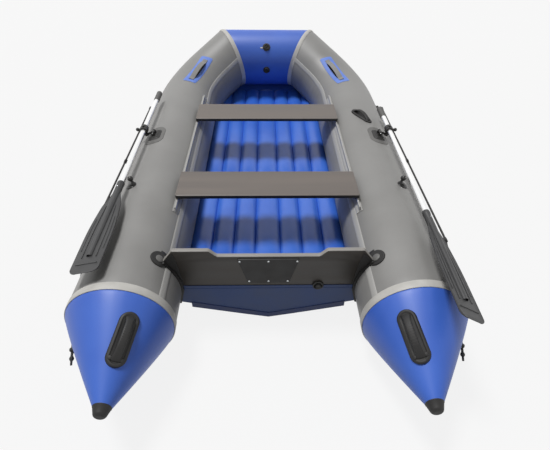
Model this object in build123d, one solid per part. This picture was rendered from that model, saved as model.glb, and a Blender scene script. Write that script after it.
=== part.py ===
from build123d import *
import os
from math import asin, atan2, cos, degrees, hypot, radians, sin, sqrt, tan

# An inflatable boat standing on its side tubes: +Y is the bow, +X is starboard, +Z is up.
# The origin is at the bottom centre of the boat. All sizes are in millimetres, all angles in degrees.
# "Station" is the distance forward of the transom's aft face, measured along a side tube.
# Angles round a side tube start at its inboard side and rise: 90 is its top, 180 its outboard side.

# ---- hull tubes
LENGTH = 3120.0             # cone tips to the front of the bow tube
TUBE_RADIUS = 208.0
TUBE_SPACING = 1156.0       # between the side tubes' centre lines
TAIL_LENGTH = 580.0         # cone tips to the transom's aft face
CONE_LENGTH = 420.0         # cone tips to the forward edge of the cone's seam band
BOW_RISE = 170.0            # the bow tube's centre line above the side tubes'
BOW_HALF_WIDTH = 285.0      # centre plane to the middle of the mitre
BEND_RADIUS = 638.0
BEND_ANGLE = 45.5
CONE_BAND = 35.0
BOW_BAND = 30.0
CONE_TIP_INBOARD = 37.5     # the tip lies this far inboard of the tube's centre line
CONE_TIP_RISE = 36.0
CONE_TIP_RADIUS = 29.5
CONE_CAP_LENGTH = 31.0
CONE_CAP_SHARE = 0.68       # cap's end radius as a share of the cone's small end
CONE_CAP_ROUNDING = 14.0
CONE_BELLY = 1.07           # exponent of the taper: higher is rounder
CONE_SECTIONS = 8
TAPE = 2.0                  # thickness of a glued tape or patch

# ---- bottom and floor
KEEL_CLEARANCE = 18.0       # the keel's lowest line above the ground
BOTTOM_SLOPE = 0.2506       # rise of the V bottom for each unit of width
BOTTOM_SHEET = 14.0         # bottom sheet with its glued edges
CHINE_HEIGHT = 126.0        # where the bottom meets the side tubes
CHINE_DEPTH = 43.2          # the bottom sheet's edge reaches this far past the tube's surface
FLOOR_TOP = 150.0
FLOOR_BASE = 84.0
FLOOR_GAP = 0.5
FLOOR_EDGE = 4.1            # the outer lobes are trimmed by the tubes over this width
FLOOR_FRONT_GAP = 57.0      # floor's front end to the bow tube's centre line
CENTRE_LOBE = 126.0
SIDE_LOBES = 3              # on each side of the centre lobe
LOBE_CROWN = 14.0
KEEL_STRIP = 60.0
KEEL_STRIP_RIDGE = 4.0
KEEL_STRIP_EDGE = 2.5
KEEL_STRIP_SHORT = 150.0    # it ends this far short of the tubes' bend

# ---- transom
TRANSOM_THICKNESS = 20.0
TRANSOM_LOW_TOP = 385.0
TRANSOM_HIGH_TOP = 415.0
LOW_TOP_HALF = 203.0
HIGH_TOP_START = 245.0
SHOULDER_INBOARD = 193.0    # shoulder's outer end, inboard of the tube's centre line
SHOULDER_DROP = 68.0        # height of the sloping corner beside the tube
SHOULDER_FOOT = 142.0       # foot of that corner, inboard of the tube's centre line
BOARD_EDGE = 138.0          # the board's blank ends here before the tube trims it
HOLDER_THICKNESS = 5.0
HOLDER_TOP_ANGLE = 49.0
HOLDER_LAP = 9.0            # its lower end laps this far below the bottom's edge
HOLDER_AFT = 14.0
HOLDER_FORWARD = 36.0
HOLDER_DISC = 38.0
HOLDER_DISC_STATION = 9.0
SKIRT_TOP = 215.0
SKIRT_THICKNESS = 3.0
PAD_TOP = 374.0
PAD_BOTTOM = 234.0
PAD_TOP_HALF = 130.0
PAD_BOTTOM_HALF = 87.0
PAD_THICKNESS = 6.0
PAD_CORNER = 8.0
DRAIN_X = 212.0
DRAIN_RADIUS = 24.0
DRAIN_BORE = 15.0
DRAIN_FLANGE = 8.0
DRAIN_GRIP = 14.0
DRAIN_GRIP_RADIUS = 13.2

# ---- seats on rope tracks
SEAT_WIDTH = 208.0
SEAT_THICKNESS = 18.0
SEAT_OVERHANG = 7.5         # board's end past the rail
SEAT_CORNER = 10.0
SEAT_ROUND = 2.5
FORE_SEAT = 1292.0          # transom to the seat's middle
AFT_SEAT = 497.0
RAIL_INBOARD = 150.0        # rail inboard of the tube's centre line
RAIL_START = 325.0
RAIL_END = 1600.0
RAIL_FLANGE = 34.8          # width of the flange glued to the tube
RAIL_FLANGE_THICKNESS = 3.0
RAIL_WEB = 5.0
RAIL_WEB_ROOT = 12.0        # the web's foot reaches this far into the flange's curve
RAIL_BEAD = 5.0
TRACK_GAP = 0.5
TRACK_SLOT_GAP = 1.0
TRACK_HEIGHT = 17.0
TRACK_WIDTH = 15.0
TRACK_SHORT = 15.0          # a track ends this far inside the board's edge
TRACK_LIFT = 12.9           # track above the rail's foot
BEAD_DROP = 1.0             # bead below the middle of the track
STRIP_WIDTH = 30.0          # seam strip below the rail
STRIP_GAP = 1.6

# ---- bow handles: a strap loop on a patch
BOW_HANDLE_PAST_BEND = 228.0
BOW_HANDLE_ANGLE = 76.0
BOW_PATCH_LENGTH = 340.0
BOW_PATCH_WIDTH = 92.0
BOW_PATCH_CORNER = 12.0
STRAP_HALF = 120.0
STRAP_ROOT = 12.0           # the loop's ends start this far below the tube's surface
STRAP_CROWN = 42.0
STRAP_THICKNESS = 6.0
STRAP_WIDTH = 34.0

# ---- stern handles and grab handle
CONE_HANDLE_SHARE = 0.45   # of the cone's length
CONE_HANDLE_ANGLE = 62.5
CONE_HANDLE_TURN = 4.0      # its fore end turns inboard
CONE_HANDLE_LENGTH = 195.0
CONE_HANDLE_WIDTH = 72.0
CONE_HANDLE_BASE = 10.0
CONE_HANDLE_ROOT = 40.0
CONE_GRIP_HALF = 73.0
CONE_GRIP_CROWN = 34.0
CONE_GRIP_THICKNESS = 12.0
CONE_GRIP_FOOT = 19.0
CONE_GRIP_WIDTH = 26.0
GRAB_STATION = 1191.0
GRAB_TURN = 24.7            # its fore end turns inboard
GRAB_LENGTH = 190.0
GRAB_WIDTH = 50.0
GRAB_BASE = 8.0
GRAB_ROOT = 12.0
GRAB_GRIP_HALF = 72.0
GRAB_GRIP_CROWN = 27.0
GRAB_GRIP_THICKNESS = 10.0
GRAB_GRIP_FOOT = 18.0
GRAB_GRIP_WIDTH = 22.0
GRIP_SINK = 1.0             # a grip's feet start this far below its base's top

# ---- valves
BOW_VALVE_ANGLE = 40.0      # round the bow tube, rising from the cockpit's side
LOW_VALVE_ANGLE = -7.0
BOW_VALVE_RADIUS = 30.0
LOW_VALVE_RADIUS = 26.0
VALVE_FLANGE = 4.0
VALVE_ROOT = 6.0
VALVE_CAP = 12.0
VALVE_CAP_SHARE = 0.72      # cap's radius as a share of the flange's

# ---- rowlocks and oars
OARLOCK = 960.0             # station of the rowlock's middle
OARLOCK_ANGLE = 106.0
OARLOCK_PATCH_LENGTH = 190.0
OARLOCK_PATCH_WIDTH = 110.0
BLOCK_LENGTH = 85.0
BLOCK_WIDTH = 44.0
BLOCK_HEIGHT = 10.0
BLOCK_CORNER = 8.0
ROOT = 8.0                  # blocks and posts start this far below the surface
HINGE_HEIGHT = 24.0
HINGE_BARREL = 7.5
HINGE_PIN = 4.0
EAR_START = 13.0            # rowlock's middle to an ear's inner face
EAR_THICKNESS = 8.0
EAR_GAP = 1.0
EAR_FOOT = 5.0              # the ears' feet end this far above the tube
PIN_END_GAP = 3.0           # the pin ends this far inside the ears' outer faces
PIN_GAP = 0.05
SHAFT_OUTBOARD = 54.67      # oar's centre line from the rowlock's foot
SHAFT_UP = 37.06
SHAFT_RADIUS = 14.0
COLLAR_WALL = 8.0
COLLAR_LENGTH = 44.0
COLLAR_GAP = 2.0
BOSS_RADIUS = 11.0
BOSS_LENGTH = 14.0
SPIGOT_RADIUS = 6.0
SPIGOT_ROOT = 2.0
ARM_WIDTH = 16.0
ARM_THICKNESS = 9.0
KNOB_RADIUS = 10.0
KNOB_OUT = 36.0
OAR_LENGTH = 1600.0
OAR_TOE = 0.65              # the blade lies nearer the centre plane by this angle
GRIP_LENGTH = 120.0
GRIP_RADIUS = 17.0
GRIP_ROUND = 4.0
SOCKET_START = 1025.0       # grip's end to the blade's socket
SOCKET_RADIUS = 16.0
RIB_END = 1500.0
PORT_REACH = 498.0          # rowlock to the grip's end
STARBOARD_REACH = 271.0
PORT_ROLL = 12.0            # the blade's outboard edge is turned down by this angle
STARBOARD_ROLL = 30.0
BLADE_THICKNESS = 7.0
BLADE_START = 55.0          # socket's start to the blade's root
BLADE_NECK = 190.0
BLADE_WIDEST = 380.0
BLADE_NECK_HALF = 46.0
BLADE_WIDEST_HALF = 59.0
BLADE_TIP_HALF = 58.0
BLADE_CORNER = 26.0
CLIP_STATION = 475.0
CLIP_GAP = 5.8
CLIP_DROP = 5.0             # clip's knob below the shaft's centre line
CLIP_KNOB = 12.0
CLIP_POST = 6.0
CLIP_POST_LENGTH = 50.0
CLIP_FOOT = 26.0
CLIP_FOOT_ANGLE = 112.0

# ---- tow ring
TOW_ANGLE = 215.0           # round the bow tube, over its top from the cockpit's side
TOW_PATCH_RADIUS = 55.0
TOW_PATCH_THICKNESS = 4.0
TOW_EYE_OUT = 12.0          # bore above the bow tube's surface
TOW_EYE_WALL = 8.0
TOW_EYE_WIDTH = 16.0
TOW_EYE_LENGTH = 30.0
TOW_EYE_BORE = 6.0
TOW_RING_RADIUS = 24.0
TOW_RING_WIRE = 4.0

# ---- lifeline
LINE_RADIUS = 5.0
LINE_STANDOFF = 30.0
LINE_GAP = 0.4
LINE_CONE = ((0.12, 204.0),)                     # share of the cone and angle of each fitting there
LINE_ENDS = ((-60.0, 192.0), (145.0, 147.0), (1487.0, 150.0))  # station and angle of those on the straight tube
LINE_MIDDLE = (808.0, 148.5)                     # the fitting between them
LINE_PAST_BEND = ((-12.0, 175.0), (168.0, 190.0), (358.0, 190.0), (548.0, 185.0))
LINE_TAIL = 26.0            # rope past the end fittings
ARC_SHARE = 0.45            # each bend's arc takes at most this share of the shorter run beside it
ARC_OFFSET = 4.0            # and passes this close to the fitting's middle
FITTING_LENGTH = 18.0
FITTING_WIDTH = 24.0
FITTING_CORNER = 5.0
FITTING_ABOVE = 7.0
FITTING_FOOT = 26.0
FITTING_FOOT_THICKNESS = 3.0
FITTING_ROOT = 12.0

# ---- places worked out from the sizes above
TIP_Y = -LENGTH / 2
TRANSOM_Y = TIP_Y + TAIL_LENGTH
TRANSOM_FRONT = TRANSOM_Y + TRANSOM_THICKNESS
CONE_STATION = CONE_LENGTH - TAIL_LENGTH
BOW_Y = LENGTH / 2 - TUBE_RADIUS
AXIS_X = TUBE_SPACING / 2
AXIS_Z = TUBE_RADIUS
BOW_Z = AXIS_Z + BOW_RISE
SLANT = hypot(AXIS_X - BOW_HALF_WIDTH, BOW_RISE)
LEAN = degrees(atan2(BOW_RISE, AXIS_X - BOW_HALF_WIDTH))
BEND = radians(BEND_ANGLE)
STUB = (SLANT - BEND_RADIUS * (1 - cos(BEND))) / sin(BEND)
BEND_Y = BOW_Y - STUB * cos(BEND) - BEND_RADIUS * sin(BEND)
BEND_START = BEND_Y - TRANSOM_Y
BEND_END = BEND_START + BEND_RADIUS * BEND
BEND_AXIS = Axis((0, 0, 0), (sin(radians(LEAN)), 0, cos(radians(LEAN))))
PAST_MITRE = BEND_END + STUB + TUBE_RADIUS

RAIL_X = AXIS_X - RAIL_INBOARD
RAIL_FOOT_Z = AXIS_Z + sqrt(TUBE_RADIUS**2 - RAIL_INBOARD**2)
RAIL_ANGLE = degrees(atan2(RAIL_FOOT_Z - AXIS_Z, RAIL_INBOARD))
FLANGE_ANGLE = degrees(RAIL_FLANGE / TUBE_RADIUS)
SEAT_BASE = RAIL_FOOT_Z + TRACK_LIFT + TRACK_HEIGHT
BEAD_Z = SEAT_BASE - TRACK_HEIGHT / 2 - BEAD_DROP
SEAT_LENGTH = 2 * (RAIL_X + SEAT_OVERHANG)
BOW_HANDLE = BEND_START + BOW_HANDLE_PAST_BEND
COLLAR_RADIUS = SHAFT_RADIUS + COLLAR_WALL
BOSS_BELOW = COLLAR_RADIUS + COLLAR_GAP + BOSS_LENGTH / 2


# ---- helpers
def export(name, *solids):
    """One file for each named piece."""
    shape = solids[0] if len(solids) == 1 else Compound(children=list(solids))
    export_step(shape, f"parts/{name}.step")


def mirrored(shape):
    return shape.mirror(Plane.YZ)


def export_pair(name, shape):
    export(f"starboard_{name}", shape)
    export(f"port_{name}", mirrored(shape))


def both_sides(half):
    return half + mirrored(half)


def largest(shape):
    return max(shape.solids(), key=lambda solid: solid.volume)


def plate_across(face, y, thickness):
    """Extrude a face drawn in X and Z forward from the given Y."""
    plane = Plane(origin=(0, y, 0), x_dir=(1, 0, 0), z_dir=(0, -1, 0))
    return extrude(plane * face, -thickness)


def polygon(*points):
    return make_face(Polyline(*points, close=True))


def slot_outline(length, width):
    """A bar with rounded ends."""
    return RectangleRounded(length, width, width / 2 - 0.01)


def rooted(plane, outline, height, root):
    """A boss that stands on a surface and starts a little below it."""
    return extrude(plane * outline, height) + extrude(plane * outline, -root)


def tube_edge(z):
    """X of the starboard tube's inboard surface at a height."""
    return AXIS_X - sqrt(TUBE_RADIUS**2 - (z - AXIS_Z) ** 2)


def tube_plane(station):
    """Plane across the starboard tube: local x points inboard, local y up."""
    turn = 0.0
    centre = Vector(AXIS_X, TRANSOM_Y + station, AXIS_Z)
    if station > BEND_START:
        turn = min((station - BEND_START) / BEND_RADIUS, BEND)
        beyond = max(station - BEND_END, 0.0)
        sideways = BEND_RADIUS * (1 - cos(turn)) + beyond * sin(turn)
        ahead = BEND_RADIUS * sin(turn) + beyond * cos(turn)
        lean = radians(LEAN)
        centre = Vector(AXIS_X - sideways * cos(lean), BEND_Y + ahead, AXIS_Z + sideways * sin(lean))
    inboard = Vector(-1, 0, 0).rotate(BEND_AXIS, degrees(turn))
    forward = Vector(0, 1, 0).rotate(BEND_AXIS, degrees(turn))
    return Plane(origin=centre, x_dir=inboard, z_dir=forward)


def on_tube(station, angle, lift=0.0):
    """Plane on the starboard tube: local x forward along the tube, z away from it."""
    across = tube_plane(station)
    angle = radians(angle)
    out = across.x_dir * cos(angle) + across.y_dir * sin(angle)
    return Plane(origin=across.origin + out * (TUBE_RADIUS + lift), x_dir=across.z_dir, z_dir=out)


def along_tube(section, start, end):
    """Carry a section along the starboard tube from one station to another."""
    pieces = []
    if start < BEND_START:
        straight_end = min(end, BEND_START)
        pieces.append(extrude(tube_plane(start) * section, straight_end - start))
    if end > BEND_START:
        first = max(start, BEND_START)
        turn = degrees(min(end - first, BEND_END - first) / BEND_RADIUS)
        lean = radians(LEAN)
        middle = Vector(AXIS_X - BEND_RADIUS * cos(lean), BEND_Y, AXIS_Z + BEND_RADIUS * sin(lean))
        axis = Axis(middle, BEND_AXIS.direction)
        pieces.append(revolve(tube_plane(first) * section, axis, revolution_arc=turn))
    if end > BEND_END:
        pieces.append(extrude(tube_plane(BEND_END) * section, end - BEND_END))
    whole = pieces[0]
    for piece in pieces[1:]:
        whole = whole + piece
    return whole


def ring_sector(inner, outer, low, high):
    """Part of a ring round the tube's centre line, between two angles."""
    low = radians(low)
    high = radians(high)
    middle = (low + high) / 2

    def point(radius, angle):
        return (radius * cos(angle), radius * sin(angle))

    outline = Line(point(inner, low), point(outer, low))
    outline += ThreePointArc(point(outer, low), point(outer, middle), point(outer, high))
    outline += Line(point(outer, high), point(inner, high))
    outline += ThreePointArc(point(inner, high), point(inner, middle), point(inner, low))
    return make_face(outline)


def on_bow(x, angle):
    """Plane on the bow tube, z away from it; the angle rises from the cockpit side."""
    angle = radians(angle)
    out = Vector(0, -cos(angle), sin(angle))
    return Plane(origin=Vector(x, BOW_Y, BOW_Z) + out * TUBE_RADIUS, x_dir=(1, 0, 0), z_dir=out)


def turned(plane, angle):
    """The same plane with its local x turned about its local z."""
    along = plane.x_dir.rotate(Axis((0, 0, 0), plane.z_dir), angle)
    return Plane(origin=plane.origin, x_dir=along, z_dir=plane.z_dir)


def straight_tube(radius):
    return extrude(tube_plane(CONE_STATION) * Circle(radius), BEND_START - CONE_STATION)


def full_side(radius):
    """The starboard tube past the mitre, before it is cut there."""
    return along_tube(Circle(radius), CONE_STATION, PAST_MITRE)


def full_bow(radius):
    half = BOW_HALF_WIDTH + radius
    across = Plane(origin=(-half, BOW_Y, BOW_Z), x_dir=(0, 1, 0), z_dir=(1, 0, 0))
    return extrude(across * Circle(radius), 2 * half)


def wrapped(station, angle, face, thickness):
    """A flat outline wrapped onto the starboard tube as a patch."""
    reach = 1.4 * TUBE_RADIUS
    ring = Circle(TUBE_RADIUS + thickness) - Circle(TUBE_RADIUS)
    shell = along_tube(ring, station - reach, station + reach)
    return shell & extrude(on_tube(station, angle) * face, 0.3 * TUBE_RADIUS, both=True)


def arch(plane, half, crown, thickness, foot, width):
    """An arched bar standing on a plane, along its local x."""
    upright = Plane(origin=plane.origin, x_dir=plane.x_dir, z_dir=plane.y_dir * -1)
    outline = ThreePointArc((-half, 0), (0, crown), (half, 0))
    outline += Line((half, 0), (half - foot, 0))
    outline += ThreePointArc((half - foot, 0), (0, crown - thickness), (foot - half, 0))
    outline += Line((foot - half, 0), (-half, 0))
    return extrude(upright * make_face(outline), width / 2, both=True)


# ---- hull tubes
MITRE_POINT = Vector(BOW_HALF_WIDTH, BOW_Y, BOW_Z)
MITRE_NORMAL = (tube_plane(BEND_END).z_dir + Vector(-1, 0, 0)).normalized()


def mitre(offset):
    """Plane parallel to the starboard mitre; positive offsets lie toward the bow tube."""
    return Plane(origin=MITRE_POINT + MITRE_NORMAL * offset, z_dir=MITRE_NORMAL)


def port_mitre(offset):
    plane = mitre(offset)
    origin = (-plane.origin.X, plane.origin.Y, plane.origin.Z)
    return Plane(origin=origin, z_dir=(-plane.z_dir.X, plane.z_dir.Y, plane.z_dir.Z))


def side_tube():
    return split(full_side(TUBE_RADIUS), bisect_by=mitre(-BOW_BAND / 2), keep=Keep.BOTTOM)


def bow_tube():
    body = split(full_bow(TUBE_RADIUS), bisect_by=mitre(BOW_BAND / 2), keep=Keep.TOP)
    return split(body, bisect_by=port_mitre(BOW_BAND / 2), keep=Keep.TOP)


def bow_band():
    """Band of tape round the mitre, as deep as the tubes."""
    half = BOW_BAND / 2
    side = along_tube(Circle(TUBE_RADIUS), BEND_END - TUBE_RADIUS, PAST_MITRE)
    side = split(side, bisect_by=mitre(-half), keep=Keep.TOP)
    side = split(side, bisect_by=mitre(0), keep=Keep.BOTTOM)
    bow = split(full_bow(TUBE_RADIUS), bisect_by=mitre(0), keep=Keep.TOP)
    return side + split(bow, bisect_by=mitre(half), keep=Keep.BOTTOM)


def cone_band():
    return extrude(tube_plane(CONE_STATION) * Circle(TUBE_RADIUS), -CONE_BAND)


def cone_section(share):
    """Centre and radius of the tail cone at a share of its length from the band."""
    start = TIP_Y + CONE_LENGTH - CONE_BAND
    end = TIP_Y + CONE_CAP_LENGTH
    y = start + (end - start) * share
    centre = Vector(AXIS_X - CONE_TIP_INBOARD * share, y, AXIS_Z + CONE_TIP_RISE * share)
    radius = CONE_TIP_RADIUS + (TUBE_RADIUS - CONE_TIP_RADIUS) * (1 - share**CONE_BELLY)
    return centre, radius


def tail_cone():
    rings = []
    for step in range(CONE_SECTIONS):
        centre, radius = cone_section(step / (CONE_SECTIONS - 1))
        rings.append(Plane(origin=centre, x_dir=(-1, 0, 0), z_dir=(0, 1, 0)) * Circle(radius))
    return loft(rings)


def cone_cap():
    """Blunt tip that carries on the taper, face to face with the cone's small end."""
    centre, radius = cone_section(1.0)
    end_radius = CONE_CAP_SHARE * radius
    back = Plane(origin=centre, x_dir=(1, 0, 0), z_dir=(0, -1, 0))
    taper = loft([back * Circle(radius), back.offset(CONE_CAP_LENGTH) * Circle(end_radius)])
    rounding = min(CONE_CAP_ROUNDING, 0.7 * end_radius, 0.7 * CONE_CAP_LENGTH)
    return fillet(taper.edges().sort_by(Axis.Y)[0], rounding)


def on_cone(share, angle):
    """Plane on the starboard cone: local x forward, z away from it."""
    step = 0.01
    angle = radians(angle)
    radial = Vector(-cos(angle), 0, sin(angle))
    ahead, ahead_radius = cone_section(share - step)
    behind, behind_radius = cone_section(share + step)
    here, here_radius = cone_section(share)
    forward = (ahead + radial * ahead_radius) - (behind + radial * behind_radius)
    forward = forward.normalized()
    normal = forward.cross(radial.cross(Vector(0, 1, 0)))
    if normal.dot(radial) < 0:
        normal = normal * -1
    return Plane(origin=here + radial * here_radius, x_dir=forward, z_dir=normal)


# ---- bottom and floor
WING = tube_edge(CHINE_HEIGHT) + CHINE_DEPTH
WING_Z = KEEL_CLEARANCE + BOTTOM_SLOPE * WING


def bottom_section(y, keel, edge_x, vee, core):
    """Closed V section across the boat, its wings reaching into the tubes."""
    edge_z = keel + vee
    top = keel + core
    inner_x = (core - BOTTOM_SHEET) * edge_x / vee
    face = polygon(
        (0, keel), (edge_x, edge_z), (edge_x, edge_z + BOTTOM_SHEET), (inner_x, top),
        (-inner_x, top), (-edge_x, edge_z + BOTTOM_SHEET), (-edge_x, edge_z),
    )
    return Plane(origin=(0, y, 0), x_dir=(1, 0, 0), z_dir=(0, -1, 0)) * face


def full_bottom():
    """The V bottom from the transom to under the bow tube, rising and narrowing at the bow."""
    vee = BOTTOM_SLOPE * WING
    run = BOW_Y - BEND_Y
    rows = [
        # y, keel's rise, wing's share, share of the V's depth, keel core
        (TRANSOM_FRONT, 0, 1.0, 1.0, 66),
        (BEND_Y - 0.25 * run, 0, 1.0, 1.0, 66),
        (BEND_Y + 0.25 * run, 8, 0.977, 0.926, 58),
        (BEND_Y + 0.58 * run, 32, 0.884, 0.722, 46),
        (BEND_Y + 0.83 * run, 74, 0.767, 0.462, 26),
        (BOW_Y + 10, 134, 0.605, 0.221, 18),
    ]
    sections = []
    for y, rise, wing_share, vee_share, core in rows:
        section = bottom_section(y, KEEL_CLEARANCE + rise, WING * wing_share, vee * vee_share, core)
        sections.append(section)
    whole = loft(sections[:2], ruled=True)
    for first, second in zip(sections[1:], sections[2:]):
        whole = whole + loft([first, second], ruled=True)
    return whole


def hull_bottom(holder):
    tube = full_side(TUBE_RADIUS)
    body = full_bottom() - tube - mirrored(tube) - holder - mirrored(holder)
    return largest(body - full_bow(TUBE_RADIUS))


def lobe_outline():
    """Scalloped top and flat base of the floor, drawn in X and Z."""
    valley = FLOOR_TOP - LOBE_CROWN
    half = tube_edge(valley) + FLOOR_EDGE
    side_lobe = (half - CENTRE_LOBE / 2) / SIDE_LOBES
    edges = [CENTRE_LOBE / 2 + side_lobe * i for i in range(SIDE_LOBES + 1)]
    xs = [-x for x in reversed(edges)] + edges
    outline = Line((half, FLOOR_BASE), (-half, FLOOR_BASE))
    outline += Line((-half, FLOOR_BASE), (-half, valley))
    for left, right in zip(xs, xs[1:]):
        outline += ThreePointArc((left, valley), ((left + right) / 2, FLOOR_TOP), (right, valley))
    outline += Line((half, valley), (half, FLOOR_BASE))
    return make_face(outline)


def inflatable_floor(holder):
    start = TRANSOM_FRONT + FLOOR_GAP
    body = plate_across(lobe_outline(), start, BOW_Y - FLOOR_FRONT_GAP - start)
    tube = full_side(TUBE_RADIUS + FLOOR_GAP)
    body = body - tube - mirrored(tube) - full_bow(TUBE_RADIUS + FLOOR_GAP)
    return largest(body - holder - mirrored(holder) - full_bottom())


def keel_strip():
    half = KEEL_STRIP / 2
    low = KEEL_CLEARANCE
    edge = low + BOTTOM_SLOPE * half
    face = polygon(
        (0, low - KEEL_STRIP_RIDGE), (half, edge - KEEL_STRIP_EDGE), (half, edge),
        (0, low), (-half, edge), (-half, edge - KEEL_STRIP_EDGE),
    )
    return plate_across(face, TRANSOM_FRONT, BEND_Y - KEEL_STRIP_SHORT - TRANSOM_FRONT)


# ---- transom
def transom_outline():
    """Starboard half of the board, before the tube trims it."""
    edge = AXIS_X - BOARD_EDGE
    foot_z = TRANSOM_HIGH_TOP - SHOULDER_DROP
    outline = Polyline(
        (0, KEEL_CLEARANCE), (edge, KEEL_CLEARANCE + BOTTOM_SLOPE * edge), (edge, foot_z - 7),
        (AXIS_X - SHOULDER_FOOT, foot_z), (AXIS_X - SHOULDER_INBOARD, TRANSOM_HIGH_TOP),
        (HIGH_TOP_START, TRANSOM_HIGH_TOP),
    )
    ends = (HIGH_TOP_START, TRANSOM_HIGH_TOP), (LOW_TOP_HALF, TRANSOM_LOW_TOP)
    outline += Spline(*ends, tangents=[(-1, 0), (-1, 0)])
    outline += Line((LOW_TOP_HALF, TRANSOM_LOW_TOP), (0, TRANSOM_LOW_TOP))
    outline += Line((0, TRANSOM_LOW_TOP), (0, KEEL_CLEARANCE))
    return make_face(outline)


def drain_hole(radius):
    plane = Plane(origin=(DRAIN_X, TRANSOM_FRONT, SKIRT_TOP), x_dir=(1, 0, 0), z_dir=(0, -1, 0))
    return extrude(plane * Circle(radius), 2 * TRANSOM_THICKNESS, both=True)


def transom():
    half = plate_across(transom_outline(), TRANSOM_Y, TRANSOM_THICKNESS)
    half = largest(half - straight_tube(TUBE_RADIUS + HOLDER_THICKNESS))
    return both_sides(half) - drain_hole(DRAIN_BORE)


def transom_skirt():
    """Blue sheet glued over the lower part of the board's aft face."""
    edge = AXIS_X - BOARD_EDGE
    low = KEEL_CLEARANCE
    face = polygon((0, low), (edge, low + BOTTOM_SLOPE * edge), (edge, SKIRT_TOP), (0, SKIRT_TOP))
    half = plate_across(face, TRANSOM_Y - SKIRT_THICKNESS, SKIRT_THICKNESS)
    half = largest(half - straight_tube(TUBE_RADIUS + HOLDER_THICKNESS))
    return both_sides(half) - drain_hole(DRAIN_RADIUS)


def drain_plug():
    plane = Plane(origin=(DRAIN_X, TRANSOM_Y, SKIRT_TOP), x_dir=(1, 0, 0), z_dir=(0, -1, 0))
    flange = extrude(plane * Circle(DRAIN_RADIUS), DRAIN_FLANGE)
    body = extrude(plane * Circle(DRAIN_BORE), -(TRANSOM_THICKNESS + PAD_THICKNESS))
    return flange + body + extrude(plane * Circle(DRAIN_GRIP_RADIUS), DRAIN_GRIP)


def motor_pad(y):
    face = polygon(
        (-PAD_BOTTOM_HALF, PAD_BOTTOM), (PAD_BOTTOM_HALF, PAD_BOTTOM),
        (PAD_TOP_HALF, PAD_TOP), (-PAD_TOP_HALF, PAD_TOP),
    )
    return plate_across(fillet(face.vertices(), PAD_CORNER), y, PAD_THICKNESS)


def transom_holder():
    """Flange round the tube beside the board, with a round foot at its top."""
    inner = TUBE_RADIUS
    outer = TUBE_RADIUS + HOLDER_THICKNESS
    low = degrees(asin((WING_Z - HOLDER_LAP - AXIS_Z) / TUBE_RADIUS))
    section = ring_sector(inner, outer, low, HOLDER_TOP_ANGLE)
    strip = along_tube(section, -HOLDER_AFT, TRANSOM_THICKNESS + HOLDER_FORWARD)
    disc = wrapped(HOLDER_DISC_STATION, HOLDER_TOP_ANGLE, Circle(HOLDER_DISC), HOLDER_THICKNESS)
    return strip + disc


# ---- seats
def seam_strip(holder):
    """Tape along the tube just below the rail, from the cone to the bow."""
    high = RAIL_ANGLE - FLANGE_ANGLE / 2 - degrees(STRIP_GAP / TUBE_RADIUS)
    low = high - degrees(STRIP_WIDTH / TUBE_RADIUS)
    section = ring_sector(TUBE_RADIUS, TUBE_RADIUS + TAPE, low, high)
    strip = along_tube(section, CONE_STATION, PAST_MITRE)
    return split(strip, bisect_by=mitre(-BOW_BAND / 2), keep=Keep.BOTTOM) - holder


def seat_rail():
    low = RAIL_ANGLE - FLANGE_ANGLE / 2
    ring = ring_sector(TUBE_RADIUS, TUBE_RADIUS + RAIL_FLANGE_THICKNESS, low, low + FLANGE_ANGLE)
    flange = along_tube(ring, RAIL_START, RAIL_END)
    web_foot = RAIL_FOOT_Z - RAIL_WEB_ROOT
    web_height = BEAD_Z - web_foot
    web = Location((RAIL_X, web_foot + web_height / 2)) * Rectangle(RAIL_WEB, web_height)
    bead = Location((RAIL_X, BEAD_Z)) * Circle(RAIL_BEAD)
    upright = plate_across(web + bead, TRANSOM_Y + RAIL_START, RAIL_END - RAIL_START)
    return flange + (upright - straight_tube(TUBE_RADIUS))


def seat_board(station):
    plane = Plane(origin=(0, TRANSOM_Y + station, SEAT_BASE))
    board = extrude(plane * RectangleRounded(SEAT_LENGTH, SEAT_WIDTH, SEAT_CORNER), SEAT_THICKNESS)
    return fillet(board.edges().filter_by(Axis.Z, reverse=True).group_by(Axis.Z)[-1], SEAT_ROUND)


def seat_tracks(station):
    """Slotted tracks under both ends of a seat, gripping the rails' beads."""
    length = SEAT_WIDTH - 2 * TRACK_SHORT
    block = Location((RAIL_X, SEAT_BASE - TRACK_HEIGHT / 2)) * Rectangle(TRACK_WIDTH, TRACK_HEIGHT)
    bore = Location((RAIL_X, BEAD_Z)) * Circle(RAIL_BEAD + TRACK_GAP)
    slot = Rectangle(RAIL_WEB + 2 * TRACK_SLOT_GAP, TRACK_HEIGHT)
    slot = Location((RAIL_X, SEAT_BASE - TRACK_HEIGHT)) * slot
    track = plate_across(block - bore - slot, TRANSOM_Y + station - length / 2, length)
    return track, mirrored(track)


# ---- handles and valves
def bow_handle_patch():
    outline = RectangleRounded(BOW_PATCH_LENGTH, BOW_PATCH_WIDTH, BOW_PATCH_CORNER)
    return wrapped(BOW_HANDLE, BOW_HANDLE_ANGLE, outline, TAPE)


def bow_handle_strap():
    """A strap loop standing on the patch, with a finger gap under it."""
    plane = on_tube(BOW_HANDLE, BOW_HANDLE_ANGLE, -STRAP_ROOT)
    band = arch(plane, STRAP_HALF, STRAP_CROWN, STRAP_THICKNESS, STRAP_ROOT, STRAP_WIDTH)
    reach = 1.4 * TUBE_RADIUS
    return band - along_tube(Circle(TUBE_RADIUS + TAPE), BOW_HANDLE - reach, BOW_HANDLE + reach)


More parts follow.
